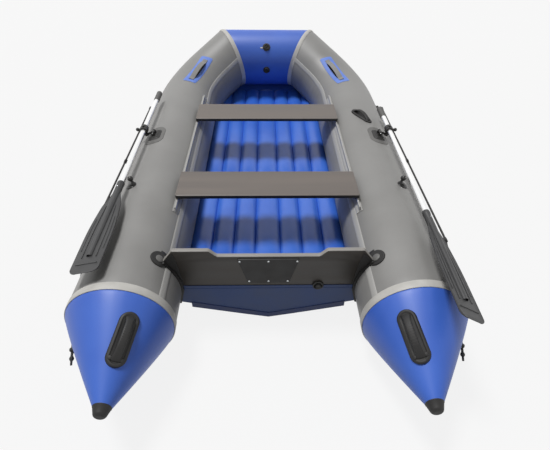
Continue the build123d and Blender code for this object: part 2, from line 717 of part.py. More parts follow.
def cone_handle(cone):
    """Moulded base with a raised grip bar over a finger gap."""
    plane = turned(on_cone(CONE_HANDLE_SHARE, CONE_HANDLE_ANGLE), CONE_HANDLE_TURN)
    outline = slot_outline(CONE_HANDLE_LENGTH, CONE_HANDLE_WIDTH)
    base = largest(rooted(plane, outline, CONE_HANDLE_BASE, CONE_HANDLE_ROOT) - cone)
    return base + arch(
        plane.offset(CONE_HANDLE_BASE - GRIP_SINK),
        CONE_GRIP_HALF, CONE_GRIP_CROWN, CONE_GRIP_THICKNESS, CONE_GRIP_FOOT, CONE_GRIP_WIDTH,
    )


def grab_handle():
    """Moulded handle on top of the tube."""
    plane = turned(on_tube(GRAB_STATION, 90.0), GRAB_TURN)
    outline = slot_outline(GRAB_LENGTH, GRAB_WIDTH)
    base = largest(rooted(plane, outline, GRAB_BASE, GRAB_ROOT) - straight_tube(TUBE_RADIUS))
    return base + arch(
        plane.offset(GRAB_BASE - GRIP_SINK),
        GRAB_GRIP_HALF, GRAB_GRIP_CROWN, GRAB_GRIP_THICKNESS, GRAB_GRIP_FOOT, GRAB_GRIP_WIDTH,
    )


def bow_valve(angle, radius):
    plane = on_bow(0, angle)
    flange = rooted(plane, Circle(radius), VALVE_FLANGE, VALVE_ROOT)
    cap = extrude(plane * Circle(VALVE_CAP_SHARE * radius), VALVE_CAP)
    return (flange + cap) - full_bow(TUBE_RADIUS)


# ---- tow ring
def tow_eye_centre():
    plane = on_bow(0, TOW_ANGLE)
    return plane.origin + plane.z_dir * TOW_EYE_OUT


def tow_ring_patch():
    """Round patch under the bow's front with an eye for the ring."""
    plane = on_bow(0, TOW_ANGLE)
    cover = full_bow(TUBE_RADIUS + TOW_PATCH_THICKNESS) - full_bow(TUBE_RADIUS)
    pad = largest(cover & extrude(plane * Circle(TOW_PATCH_RADIUS), TOW_PATCH_RADIUS, both=True))
    eye = plane * Box(TOW_EYE_WIDTH, TOW_EYE_LENGTH, 2 * (TOW_EYE_OUT + TOW_EYE_WALL))
    eye = largest(eye - full_bow(TUBE_RADIUS))
    across = Plane(origin=tow_eye_centre(), x_dir=(0, 1, 0), z_dir=(1, 0, 0))
    return largest((pad + eye) - extrude(across * Circle(TOW_EYE_BORE), TOW_EYE_WIDTH, both=True))


def tow_ring():
    """Ring hanging in the eye, across the boat."""
    centre = tow_eye_centre() - Vector(0, 0, TOW_RING_RADIUS)
    across = Plane(origin=centre, x_dir=(1, 0, 0), z_dir=(0, 1, 0))
    return across * Torus(TOW_RING_RADIUS, TOW_RING_WIRE)


# ---- rowlocks and oars
OARLOCK_PLANE = on_tube(OARLOCK, OARLOCK_ANGLE)
OARLOCK_OUT = OARLOCK_PLANE.z_dir
HINGE = OARLOCK_PLANE.origin + OARLOCK_OUT * HINGE_HEIGHT
HINGE_PLANE = Plane(origin=HINGE, x_dir=(1, 0, 0), z_dir=(0, 1, 0))
SHAFT = OARLOCK_PLANE.origin + Vector(SHAFT_OUTBOARD, 0, SHAFT_UP)


def rowlock_ear(direction):
    """One ear of the hinge, fore (1) or aft (-1) of the yoke."""
    inner = HINGE + Vector(0, EAR_START * direction, 0)
    eye = extrude(Plane(origin=inner, z_dir=(0, direction, 0)) * Circle(HINGE_BARREL), EAR_THICKNESS)
    drop = HINGE_HEIGHT - EAR_FOOT
    middle = inner + Vector(0, EAR_THICKNESS / 2 * direction, 0) - OARLOCK_OUT * (drop / 2)
    foot = Plane(origin=middle, x_dir=(0, 1, 0), z_dir=OARLOCK_OUT)
    return eye + extrude(foot * Rectangle(EAR_THICKNESS, 2 * HINGE_BARREL), drop / 2, both=True)


def oarlock_base():
    """Patch, block, two ears and the pin that the yoke tilts on."""
    outline = slot_outline(OARLOCK_PATCH_LENGTH, OARLOCK_PATCH_WIDTH)
    patch = wrapped(OARLOCK, OARLOCK_ANGLE, outline, TAPE)
    block_outline = RectangleRounded(BLOCK_LENGTH, BLOCK_WIDTH, BLOCK_CORNER)
    block = rooted(OARLOCK_PLANE, block_outline, BLOCK_HEIGHT, ROOT)
    pin_half = EAR_START + EAR_THICKNESS - PIN_END_GAP
    pin = extrude(HINGE_PLANE * Circle(HINGE_PIN), pin_half, both=True)
    body = block + rowlock_ear(1) + rowlock_ear(-1) + pin + patch
    return largest(body - straight_tube(TUBE_RADIUS))


def rowlock_yoke():
    """Barrel on the hinge pin, an arm, and the boss that takes the oar's spigot."""
    barrel = extrude(HINGE_PLANE * Circle(HINGE_BARREL), EAR_START - EAR_GAP, both=True)
    seat = Plane(origin=SHAFT - OARLOCK_OUT * BOSS_BELOW, x_dir=(0, 1, 0), z_dir=OARLOCK_OUT)
    boss = extrude(seat * Circle(BOSS_RADIUS), BOSS_LENGTH / 2, both=True)
    reach = seat.origin - HINGE
    arm_plane = Plane(origin=HINGE, x_dir=(0, 1, 0), z_dir=reach.normalized())
    arm = extrude(arm_plane * Rectangle(ARM_WIDTH, ARM_THICKNESS), reach.length)
    body = barrel + arm + boss
    body = body - extrude(HINGE_PLANE * Circle(HINGE_PIN + PIN_GAP), BLOCK_LENGTH, both=True)
    return body - extrude(seat * Circle(SPIGOT_RADIUS + PIN_GAP), BLOCK_LENGTH, both=True)


def oar_collar():
    """Ring round the shaft, with a spigot below and a ball knob outboard."""
    across = Plane(origin=(0, 0, 0), x_dir=(1, 0, 0), z_dir=(0, 1, 0))
    ring_outline = Circle(COLLAR_RADIUS) - Circle(SHAFT_RADIUS)
    ring = extrude(across * ring_outline, COLLAR_LENGTH / 2, both=True)
    ring = Location(SHAFT) * Rotation(0, 0, -OAR_TOE) * ring
    start = COLLAR_RADIUS - SPIGOT_ROOT
    down = Plane(origin=SHAFT - OARLOCK_OUT * start, x_dir=(0, 1, 0), z_dir=OARLOCK_OUT * -1)
    spigot = extrude(down * Circle(SPIGOT_RADIUS), SPIGOT_ROOT + COLLAR_GAP + BOSS_LENGTH)
    side = Plane(origin=SHAFT + Vector(start, 0, 0), x_dir=(0, 1, 0), z_dir=(1, 0, 0))
    neck = extrude(side * Circle(SPIGOT_RADIUS), KNOB_OUT - start)
    return ring + spigot + neck + Location(SHAFT + Vector(KNOB_OUT, 0, 0)) * Sphere(KNOB_RADIUS)


def oar_parts(reach, roll):
    """Grip, shaft and blade, drawn along -Y from the grip's end and laid in the rowlock."""
    place = Location(SHAFT) * Rotation(0, 0, -OAR_TOE) * Rotation(0, roll, 0) * Location((0, reach, 0))
    back = Plane(origin=(0, 0, 0), x_dir=(1, 0, 0), z_dir=(0, -1, 0))
    grip = extrude(back * Circle(GRIP_RADIUS), GRIP_LENGTH)
    grip = fillet(grip.edges(), GRIP_ROUND)
    shaft = extrude(back.offset(GRIP_LENGTH) * Circle(SHAFT_RADIUS), SOCKET_START - GRIP_LENGTH)
    return place * grip, place * shaft, place * oar_blade(back)


def oar_blade(back):
    """Flat blade widening from the socket, with a round rib down its middle."""
    root = -(SOCKET_START + BLADE_START)
    tip_start = BLADE_CORNER - OAR_LENGTH
    corner = (BLADE_TIP_HALF - 0.3 * BLADE_CORNER, tip_start - 0.77 * BLADE_CORNER)
    tip_half = BLADE_TIP_HALF - BLADE_CORNER
    side = Spline(
        (SHAFT_RADIUS, root), (BLADE_NECK_HALF, -(SOCKET_START + BLADE_NECK)),
        (BLADE_WIDEST_HALF, -(SOCKET_START + BLADE_WIDEST)), (BLADE_TIP_HALF, tip_start),
        tangents=[(0.35, -1), (-0.03, -1)],
    )
    side += ThreePointArc((BLADE_TIP_HALF, tip_start), corner, (tip_half, -OAR_LENGTH))
    outline = side + side.mirror(Plane.YZ)
    outline += Line((tip_half, -OAR_LENGTH), (-tip_half, -OAR_LENGTH))
    outline += Line((-SHAFT_RADIUS, root), (SHAFT_RADIUS, root))
    plate = extrude(Plane.XY * make_face(outline), BLADE_THICKNESS / 2, both=True)
    rib = extrude(back.offset(SOCKET_START) * Circle(SOCKET_RADIUS), RIB_END - SOCKET_START)
    return plate + rib + Location((0, -RIB_END, 0)) * Sphere(SOCKET_RADIUS)


def oar_clip():
    """Post and knob beside the stowed shaft, on a round foot."""
    toe_shift = (OARLOCK - CLIP_STATION) * sin(radians(OAR_TOE))
    x = SHAFT.X - toe_shift - SHAFT_RADIUS - CLIP_KNOB - CLIP_GAP
    centre = Vector(x, TRANSOM_Y + CLIP_STATION, SHAFT.Z - CLIP_DROP)
    foot = wrapped(CLIP_STATION, CLIP_FOOT_ANGLE, Circle(CLIP_FOOT), TAPE)
    inward = Vector(AXIS_X - centre.X, 0, AXIS_Z - centre.Z).normalized()
    post = extrude(Plane(origin=centre, x_dir=(0, 1, 0), z_dir=inward) * Circle(CLIP_POST), CLIP_POST_LENGTH)
    return largest((post + Location(centre) * Sphere(CLIP_KNOB) + foot) - straight_tube(TUBE_RADIUS))


# ---- lifeline
def line_corners():
    """Surface planes of the fittings where the lifeline turns, from the cone forward."""
    planes = [on_cone(share, angle) for share, angle in LINE_CONE]
    planes += [on_tube(station, angle) for station, angle in LINE_ENDS]
    return planes + [on_tube(BEND_START + past, angle) for past, angle in LINE_PAST_BEND]


def line_path():
    """Straight runs between the fittings where the line turns, joined by arcs."""
    points = [plane.origin + plane.z_dir * LINE_STANDOFF for plane in line_corners()]
    points[0] = points[0] + (points[0] - points[1]).normalized() * LINE_TAIL
    points[-1] = points[-1] + (points[-1] - points[-2]).normalized() * LINE_TAIL
    radii = []
    for before, corner, after in zip(points, points[1:], points[2:]):
        half_turn = radians((corner - before).get_angle(after - corner)) / 2
        shorter = min((corner - before).length, (after - corner).length)
        length = min(ARC_SHARE * shorter, ARC_OFFSET / tan(half_turn / 2))
        radii.append(length / tan(half_turn))
    print("lifeline arc radii", [round(radius) for radius in radii])
    return FilletPolyline(*points, radius=radii)


def lifeline(path, radius):
    return sweep(Plane(origin=path @ 0, z_dir=path % 0) * Circle(radius), path=path)


def line_fittings(channel, cone):
    """Moulded pads with a block that the line runs through."""
    tube = full_side(TUBE_RADIUS) + cone_band()
    fittings = []
    for plane in line_corners() + [on_tube(*LINE_MIDDLE)]:
        outline = RectangleRounded(FITTING_LENGTH, FITTING_WIDTH, FITTING_CORNER)
        block = extrude(plane * outline, LINE_STANDOFF + FITTING_ABOVE)
        foot = rooted(plane, Circle(FITTING_FOOT), FITTING_FOOT_THICKNESS, FITTING_ROOT)
        fittings.append(largest((block + foot) - tube - cone - channel))
    return fittings


# ---- export
def export_hull():
    export_pair("side_tube", side_tube())
    export("bow_tube", bow_tube())
    band = bow_band()
    export("bow_seam_bands", band, mirrored(band))
    tape = cone_band()
    export("cone_seam_bands", tape, mirrored(tape))
    cone = tail_cone()
    export_pair("tail_cone", cone)
    cap = cone_cap()
    export("cone_caps", cap, mirrored(cap))
    export_pair("cone_handle", cone_handle(cone))
    path = line_path()
    export_pair("lifeline", lifeline(path, LINE_RADIUS))
    fittings = line_fittings(lifeline(path, LINE_RADIUS + LINE_GAP), cone)
    export("lifeline_fittings", *fittings, *(mirrored(piece) for piece in fittings))


def export_bottom_and_transom():
    holder = transom_holder()
    export_pair("transom_holder", holder)
    export("hull_bottom", hull_bottom(holder))
    export("keel_strip", keel_strip())
    export("inflatable_floor", inflatable_floor(holder))
    export("transom", transom())
    export("transom_skirt", transom_skirt())
    export("drain_plug", drain_plug())
    export("outer_motor_pad", motor_pad(TRANSOM_Y - PAD_THICKNESS))
    export("inner_motor_pad", motor_pad(TRANSOM_FRONT))
    strip = seam_strip(holder)
    export("seam_strips", *strip.solids(), *mirrored(strip).solids())


def export_seats_and_handles():
    export_pair("seat_rail", seat_rail())
    for name, station in (("fore", FORE_SEAT), ("aft", AFT_SEAT)):
        export(f"{name}_seat_board", seat_board(station))
        export(f"{name}_seat_tracks", *seat_tracks(station))
    export_pair("bow_handle_patch", bow_handle_patch())
    export_pair("bow_handle_strap", bow_handle_strap())
    export("starboard_grab_handle", grab_handle())
    export("bow_valve", bow_valve(BOW_VALVE_ANGLE, BOW_VALVE_RADIUS))
    export("lower_bow_valve", bow_valve(LOW_VALVE_ANGLE, LOW_VALVE_RADIUS))
    export("tow_ring_patch", tow_ring_patch())
    export("tow_ring", tow_ring())


def export_oars():
    export_pair("oarlock_base", oarlock_base())
    export_pair("rowlock_yoke", rowlock_yoke())
    export_pair("oar_collar", oar_collar())
    names = ("grip", "shaft", "blade")
    for name, shape in zip(names, oar_parts(STARBOARD_REACH, STARBOARD_ROLL)):
        export(f"starboard_oar_{name}", shape)
    for name, shape in zip(names, oar_parts(PORT_REACH, PORT_ROLL)):
        export(f"port_oar_{name}", mirrored(shape))
    clip = oar_clip()
    export("oar_clips", clip, mirrored(clip))


def main():
    os.makedirs("parts", exist_ok=True)
    export_hull()
    export_bottom_and_transom()
    export_seats_and_handles()
    export_oars()


main()
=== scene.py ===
from math import asin, atan2, copysign, cos, degrees, exp, hypot, pi, radians, sin, sqrt, tan

import bmesh
import bpy
from mathutils import Matrix, Quaternion, Vector, noise


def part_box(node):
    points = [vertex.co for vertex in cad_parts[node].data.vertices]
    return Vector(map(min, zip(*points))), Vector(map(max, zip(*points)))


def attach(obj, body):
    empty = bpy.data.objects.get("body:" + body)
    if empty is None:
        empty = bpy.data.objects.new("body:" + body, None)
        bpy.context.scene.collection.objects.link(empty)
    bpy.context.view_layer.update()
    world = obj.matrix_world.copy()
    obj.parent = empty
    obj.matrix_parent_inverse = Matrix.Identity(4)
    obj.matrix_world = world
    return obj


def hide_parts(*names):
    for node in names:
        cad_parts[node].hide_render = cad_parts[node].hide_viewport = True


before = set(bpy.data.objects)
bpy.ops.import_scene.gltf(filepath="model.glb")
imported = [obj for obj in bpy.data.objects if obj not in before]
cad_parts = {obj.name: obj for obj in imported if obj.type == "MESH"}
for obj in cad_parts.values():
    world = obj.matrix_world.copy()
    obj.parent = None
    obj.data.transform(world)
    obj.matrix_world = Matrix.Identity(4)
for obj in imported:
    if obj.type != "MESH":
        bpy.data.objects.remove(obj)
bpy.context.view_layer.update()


def mm(*pairs):
    """Pairs of sizes that are written in millimetres."""
    return [(first / 1000, second / 1000) for first, second in pairs]


# The boat lies with its bow toward +Y and starboard toward +X, standing on its tubes at Z = 0.
# Starboard pieces are drawn, and port pieces are their mirror image. Sizes are in metres,
# and in millimetres inside mm().
# A station is the distance forward of the transom's aft face along a side tube. Angles round a
# side tube start at its inboard side: 90 degrees is its top and 180 its outboard side.

# ---- sizes and places
TUBE_RADIUS = 0.208
TRANSOM_AFT, TRANSOM_FORE = (corner.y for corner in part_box("transom"))
AXIS_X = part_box("cone_seam_bands")[1].x - TUBE_RADIUS
AXIS_Z = TUBE_RADIUS
BAND_AFT, BAND_FORE = (corner.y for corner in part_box("cone_seam_bands"))
CONE_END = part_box("cone_caps")[1].y
BOW_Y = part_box("bow_tube")[1].y - TUBE_RADIUS
BOW_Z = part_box("bow_tube")[1].z - TUBE_RADIUS
BOW_HALF_WIDTH = 0.285
BEND_RADIUS = 0.638
BEND = radians(45.5)
LEAN = atan2(BOW_Z - AXIS_Z, AXIS_X - BOW_HALF_WIDTH)
SLANT = hypot(BOW_Z - AXIS_Z, AXIS_X - BOW_HALF_WIDTH)
STUB = (SLANT - BEND_RADIUS * (1 - cos(BEND))) / sin(BEND)
BEND_Y = BOW_Y - STUB * cos(BEND) - BEND_RADIUS * sin(BEND)
BEND_START = BEND_Y - TRANSOM_AFT
BEND_END = BEND_START + BEND_RADIUS * BEND
BEND_AXIS = Vector((sin(LEAN), 0, cos(LEAN)))
CONE_STATION = BAND_FORE - TRANSOM_AFT
BOW_BAND = 0.030
TAPE_EDGE = mm((0, -1), (0, 1.6), (1.5, 2.4))  # in from a tape's edge, off the tube
SKIN_UNDER_TAPE = 0.004
UP = Vector((0, 0, 1))
AFT = Vector((0, -1, 0))
AHEAD = Vector((0, 1, 0))
OUTBOARD = Vector((1, 0, 0))
INBOARD = Vector((-1, 0, 0))
SIDES = ("starboard", "port")


def linear(colour):
    """Linear RGBA of an sRGB hex colour."""
    channels = [int(colour[i : i + 2], 16) / 255 for i in (1, 3, 5)]
    return tuple(c / 12.92 if c <= 0.04045 else ((c + 0.055) / 1.055) ** 2.4 for c in channels) + (1.0,)


# ---- materials
def add(tree, kind, settings=None, feeds=None):
    """Add one node. Settings go on its sockets or options, feeds are linked into its sockets."""
    node = tree.nodes.new("ShaderNode" + kind)
    for key, value in (settings or {}).items():
        if isinstance(key, int) or key in node.inputs:
            node.inputs[key].default_value = value
        else:
            setattr(node, key, value)
    for key, source in (feeds or {}).items():
        socket = source.outputs[0] if isinstance(source, bpy.types.Node) else source
        tree.links.new(socket, node.inputs[key])
    return node


def per_metre(millimetres):
    """Texture scale for a pattern of that size."""
    return 1000.0 / millimetres


def new_material(name, settings):
    material = bpy.data.materials.new(name)
    material.use_nodes = True
    tree = material.node_tree
    shader = tree.nodes["Principled BSDF"]
    for key, value in settings.items():
        shader.inputs[key].default_value = value
    return material, tree, shader


def two_tone(tree, factor, dark, light, low=0.35, high=0.65):
    """Colour that drifts between two shades."""
    ramp = add(tree, "ValToRGB", {}, {"Fac": factor})
    ramp.color_ramp.elements[0].position = low
    ramp.color_ramp.elements[0].color = linear(dark)
    ramp.color_ramp.elements[1].position = high
    ramp.color_ramp.elements[1].color = linear(light)
    return ramp


def surface(name, dark, light, rough, grain, relief, drift=120.0, stretch=(1, 1, 1), **settings):
    """A material with a slow drift of colour and gloss and a fine raised grain.
    rough is its lowest and highest roughness; grain, relief and drift are in millimetres."""
    settings = {key.replace("_", " ").title().replace("Ior", "IOR"): v for key, v in settings.items()}
    material, tree, shader = new_material(name, settings)
    place = add(tree, "Mapping", {"Scale": stretch}, {"Vector": add(tree, "TexCoord").outputs["Object"]})
    patches = add(tree, "TexNoise", {"Scale": per_metre(drift), "Detail": 4.0}, {"Vector": place})
    tree.links.new(two_tone(tree, patches, dark, light).outputs[0], shader.inputs["Base Color"])
    gloss = add(tree, "MapRange", {3: rough[0], 4: rough[1], 1: 0.3, 2: 0.7}, {0: patches})
    tree.links.new(gloss.outputs[0], shader.inputs["Roughness"])
    pores = add(tree, "TexNoise", {"Scale": per_metre(grain), "Detail": 3.0}, {"Vector": place})
    bump = add(tree, "Bump", {"Strength": 0.6, "Distance": relief / 1000}, {"Height": pores})
    tree.links.new(bump.outputs[0], shader.inputs["Normal"])
    return material


# PVC-coated polyester cloth, calendered: an even satin skin, the threads only just felt through
# the coat. The real threads are 1 mm apart, and are drawn 3 mm apart so that they show at all.
GREY_PVC = surface("calendered_grey_pvc", "#82817f", "#8a8987", (0.42, 0.52), 3.0, 0.10, 260)
BLUE_PVC = surface("calendered_blue_pvc", "#3861c0", "#406ac9", (0.40, 0.50), 3.0, 0.10, 260)
# The same cloth where it is glued flat over the board, dulled, and darkened to navy by painted shade of the
# board's aft face.
SHADED_SKIRT_PVC = surface("navy_pvc_painted_shade", "#1f3764", "#263f70", (0.48, 0.58), 3.0, 0.10, 120)
# Its free edge, cut and hanging in the shade: darker still.
HEM_PVC = surface("cut_navy_pvc_edge", "#132450", "#1a2d5e", (0.50, 0.60), 3.0, 0.10, 90)
# Softer, paler blue cloth of the handle patches, roughened before it is welded on.
PATCH_BLUE = surface("roughened_cornflower_pvc", "#5f7fd2", "#6c8bda", (0.55, 0.65), 2.0, 0.12, 60)
# Lighter and glossier coat, as an inflated floor has: the lobes catch a paler streak of light.
FLOOR_PVC = surface(
    "drop_in_floor_pvc", "#2f63c9", "#386dd2", (0.34, 0.44), 3.0, 0.08, 200, coat_weight=0.5,
    coat_roughness=0.22
)
# Uncoated-side PVC tape, heat welded: duller and paler than the tube that it covers.
CREAM_TAPE = surface("welded_cream_pvc_tape", "#b6b4af", "#c1bfba", (0.50, 0.60), 1.5, 0.06, 60)
# Extruded soft PVC: smooth, with faint draw lines along its run.
RAIL_PVC = surface("extruded_grey_pvc", "#a3a29f", "#aeadaa", (0.40, 0.52), 2.0, 0.05, 90, (4, 0.15, 4))
# Birch plywood with a dark phenolic film pressed on: flat, dark, a faint grain in its sheen.
DARK_PLY = surface("film_faced_dark_plywood", "#2b2723", "#36312c", (0.40, 0.55), 2.0, 0.05, 60, (0.1, 1, 1))
# The board's sawn and sealed edge: pale veneers laid in thin stripes.
PLY_EDGE = surface("sealed_plywood_edge", "#85827d", "#969390", (0.45, 0.60), 1.5, 0.08, 20, (0.1, 6, 1))
# The same film in brown on the seats, worn a little paler where it is sat on.
SEAT_PLY = surface(
    "film_faced_brown_plywood", "#625b56", "#6b635d", (0.38, 0.52), 2.5, 0.06, 70, (0.08, 1, 1)
)
# Black paint on the seats' sawn edges: a dull dark line under each board.
SEAT_EDGE = surface("painted_seat_edge", "#0e0c0b", "#171413", (0.45, 0.60), 2.0, 0.06, 30, (0.2, 1, 3))
# Drawn and anodised aluminium tube: pale and bright, fine draw lines along its length.
ALUMINIUM = surface(
    "drawn_anodised_aluminium", "#f0f0f0", "#f8f8f7", (0.26, 0.36), 1.2, 0.02, 30, (1, 0.05, 1), metallic=1.0
)
# Glass-filled polypropylene, injection moulded: even dark grey, soft sheen, spark-etched grain.
BLADE_PLASTIC = surface("moulded_grey_polypropylene", "#303031", "#39393a", (0.38, 0.50), 0.9, 0.08, 80)
# Nylon, injection moulded: near black and a little glossy on its round edges.
BLACK_NYLON = surface("moulded_black_nylon", "#11100f", "#1a1817", (0.30, 0.42), 0.8, 0.06, 50)
# Rubber, compression moulded: brownish black and matt.
BLACK_RUBBER = surface("moulded_black_rubber", "#0b0a09", "#131110", (0.52, 0.66), 1.0, 0.10, 60)
# Foamed rubber: open pores make it mid grey and quite matt.
GRIP_RUBBER = surface("foamed_grip_rubber", "#555453", "#605f5e", (0.55, 0.70), 0.8, 0.15, 40)
# Soft PVC, moulded with a fine leather grain: grey and dull.
PATCH_GREY = surface("moulded_grey_patch_pvc", "#5c5b59", "#676664", (0.45, 0.58), 1.5, 0.08, 60)
# Stainless steel, polished: bright points of light on the screws, pins and ring.
STEEL = surface("polished_stainless_steel", "#b9bbbc", "#c9cbcc", (0.16, 0.26), 0.8, 0.01, 15, metallic=1.0)
# A small off-white tab: a painted highlight beside the upper valve.
PALE_HIGHLIGHT_PLASTIC = surface("pale_painted_highlight", "#cfccc2", "#dad7ce", (0.38, 0.50), 0.8, 0.04, 20)
# Polyester rope: soft black fibres, greyed where they catch the light.
ROPE_BLACK = surface("braided_black_polyester", "#1d1c1b", "#2d2c2a", (0.60, 0.75), 1.0, 0.25, 8)
# Extruded nylon of the seats' tracks: draw lines along it and a dull sheen.
TRACK_NYLON = surface("extruded_black_nylon", "#242221", "#2e2c2a", (0.35, 0.48), 0.9, 0.05, 40, (1, 0.2, 1))


def woven_webbing(name, dark, light):
    """Polyester webbing: ribs across the strap with threads crossing them, matt with a soft sheen."""
    material, tree, shader = new_material(name, {"Roughness": 0.72, "Sheen Weight": 0.25})
    place = add(tree, "TexCoord").outputs["Object"]
    ribs = add(tree, "TexWave", {"Scale": per_metre(2.5) / 6.3, "bands_direction": "Y"}, {"Vector": place})
    threads = add(tree, "TexNoise", {"Scale": per_metre(1.0), "Detail": 2.0}, {"Vector": place})
    height = add(tree, "Math", {"operation": "ADD"}, {0: ribs.outputs["Fac"], 1: threads})
    tree.links.new(two_tone(tree, threads, dark, light).outputs[0], shader.inputs["Base Color"])
    bump = add(tree, "Bump", {"Strength": 0.8, "Distance": 0.0004}, {"Height": height})
    tree.links.new(bump.outputs[0], shader.inputs["Normal"])
    return material


GREY_WEBBING = woven_webbing("woven_grey_webbing", "#7e7d7b", "#92918e")


def spread(start, end, count):
    """Values from start to end in a count of even steps."""
    return [start + (end - start) * i / count for i in range(count + 1)]


def once_round(count):
    """A count of even angles that go once round."""
    return [2 * pi * i / count for i in range(count)]


# ---- mesh shapes: each is a list of points and a list of faces
def loft(rings, closed=True, ends=(False, False)):
    """Skin over a row of rings with the same number of points."""
    count = len(rings[0])
    points = [Vector(point) for ring in rings for point in ring]
    faces = []
    for i in range(len(rings) - 1):
        for j in range(count if closed else count - 1):
            a, b = i * count + j, i * count + (j + 1) % count
            faces.append((a, b, b + count, a + count))
    if ends[0]:
        faces.append(tuple(reversed(range(count))))
    if ends[1]:
        faces.append(tuple(range((len(rings) - 1) * count, len(rings) * count)))
    return points, faces


def solid(rings):
    """A skin over rings that is closed at both ends."""
    return loft(rings, ends=(True, True))


def joined(*shapes):
    points, faces = [], []
    for shape_points, shape_faces in shapes:
        start = len(points)
        points += shape_points
        faces += [tuple(index + start for index in face) for face in shape_faces]
    return points, faces


def port(shape):
    points, faces = shape
    return [Vector((-p.x, p.y, p.z)) for p in points], [tuple(reversed(face)) for face in faces]


def handed(side, shape):
    return shape if side == "starboard" else port(shape)


def both(shape):
    return joined(shape, port(shape))


def picked(shape, test):
    """The faces that pass a test of their middle and normal, and the rest, as two shapes."""
    points, faces = shape
    kept, rest = [], []
    for face in faces:
        corners = [points[i] for i in face]
        middle = sum(corners, Vector()) / len(corners)
        normal = (corners[2] - corners[0]).cross(corners[-1] - corners[1]).normalized()
        (kept if test(middle, normal) else rest).append(face)
    return (points, kept), (points, rest)


def in_scene(name, data):
    """A new object in the scene."""
    obj = bpy.data.objects.new(name, data)
    bpy.context.scene.collection.objects.link(obj)
    return obj


def make(name, parts, slot, stands_for=(), body="hull", crease=35.0):
    """A named piece from its (shape, material) parts. It rides on a body and stands for CAD nodes."""
    bm = bmesh.new()
    for index, (shape, _) in enumerate(parts):
        points, faces = shape
        corners = [bm.verts.new(point) for point in points]
        for face in faces:
            new_face = bm.faces.new([corners[i] for i in face])
            new_face.material_index = index
            new_face.smooth = True
    bmesh.ops.remove_doubles(bm, verts=bm.verts, dist=2e-6)
    bmesh.ops.dissolve_degenerate(bm, edges=bm.edges, dist=1e-6)
    loose = [vert for vert in bm.verts if not vert.link_faces]
    bmesh.ops.delete(bm, geom=loose, context="VERTS")
    bmesh.ops.recalc_face_normals(bm, faces=bm.faces)
    mesh = bpy.data.meshes.new(name)
    bm.to_mesh(mesh)
    bm.free()
    for _, material in parts:
        mesh.materials.append(material)
    mesh.set_sharp_from_angle(angle=radians(crease))
    obj = in_scene(name, mesh)
    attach(obj, body)
    if stands_for:
        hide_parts(*stands_for)
    return obj


def make_pair(name, parts, slot, node=None):
    """The starboard piece and its port mirror image, both on the hull."""
    for side in SIDES:
        mine = [(handed(side, shape), material) for shape, material in parts]
        make(f"{side}_{name}", mine, slot, [f"{side}_{node}"] if node else ())


def turned(centre, axis, profile, sides=32, flutes=0, depth=0.0):
    """A turned shape: its profile is (distance along the axis, radius). Flutes are cut round it."""
    axis = axis.normalized()
    across = axis.orthogonal().normalized()
    third = axis.cross(across)
    rings = []
    for along, radius in profile:
        ring = []
        for turn in once_round(sides):
            reach = max(radius - depth * (0.5 - 0.5 * cos(flutes * turn)), 0) if radius else 0
            ring.append(centre + axis * along + (across * cos(turn) + third * sin(turn)) * reach)
        rings.append(ring)
    return loft(rings)


def swept(points, guide, section):
    """Carry a section of (sideways, outward) offsets along a path, or one that changes with its share."""
    rings = []
    last = len(points) - 1
    for i, point in enumerate(points):
        tangent = (points[min(i + 1, last)] - points[max(i - 1, 0)]).normalized()
        here = guide[i] if isinstance(guide, list) else guide
        outward = (here - tangent * here.dot(tangent)).normalized()
        sideways = tangent.cross(outward)
        outline = section(i / last) if callable(section) else section
        rings.append([point + sideways * s + outward * o for s, o in outline])
    return solid(rings)


def oval(width, thickness, power=2.6, count=24):
    """Section of a bar with soft corners: a power of 2 is an ellipse, higher is squarer."""
    points = []
    for turn in once_round(count):
        c, s = cos(turn), sin(turn)
        points.append((
            copysign(abs(c) ** (2 / power), c) * width / 2,
            copysign(abs(s) ** (2 / power), s) * thickness / 2,
        ))
    return points


def rounded_plate(length, width, corner, inset, arc, side):
    """Outline of a plate with round corners, drawn in from its edge by an inset."""
    half_length, half_width = length / 2 - inset, width / 2 - inset
    radius = min(max(corner - inset, 0.0), half_length, half_width)
    corners = []
    for k, (sx, sy) in enumerate(((1, 1), (-1, 1), (-1, -1), (1, -1))):
        cx, cy = sx * (half_length - radius), sy * (half_width - radius)
        turns = [(k + step / arc) * pi / 2 for step in range(arc + 1)]
        corners.append([(cx + radius * cos(t), cy + radius * sin(t)) for t in turns])
    points = []
    for k, here in enumerate(corners):
        points += here
        (x0, y0), (x1, y1) = here[-1], corners[(k + 1) % 4][0]
        points += [(x0 + (x1 - x0) * i / side, y0 + (y1 - y0) * i / side) for i in range(1, side)]
    return points


def drawn_in(points, inset):
    """A closed outline, listed anticlockwise, drawn in by an inset."""
    result = []
    for i, point in enumerate(points):
        before, after = points[i - 1], points[(i + 1) % len(points)]
        first = Vector((point[0] - before[0], point[1] - before[1])).normalized()
        second = Vector((after[0] - point[0], after[1] - point[1])).normalized()
        n1, n2 = Vector((-first.y, first.x)), Vector((-second.y, second.x))
        shift = (n1 + n2) / max(1 + n1.dot(n2), 0.3) * inset
        result.append((point[0] + shift.x, point[1] + shift.y))
    return result


def softened(corners, radius, count=6):
    """A polygon with its corners rounded."""
    points = []
    for i, corner in enumerate(corners):
        here = Vector(corner)
        before = (Vector(corners[i - 1]) - here).normalized() * radius
        after = (Vector(corners[(i + 1) % len(corners)]) - here).normalized() * radius
        for t in spread(0, 1, count):
            points.append(tuple(here + before * (1 - t) ** 2 + after * t**2))
    return points


def plate(length, width, corner, arc=6, side=10):
    """A plate with round corners, ready to be drawn in by any inset."""
    return lambda inset: rounded_plate(length, width, corner, inset, arc, side)


def raised(place, outline, steps):
    """A boss or pad: each step is (inset of the outline, height), from its foot to its middle."""
    return loft([[place(u, v, height) for u, v in outline(inset)] for inset, height in steps])


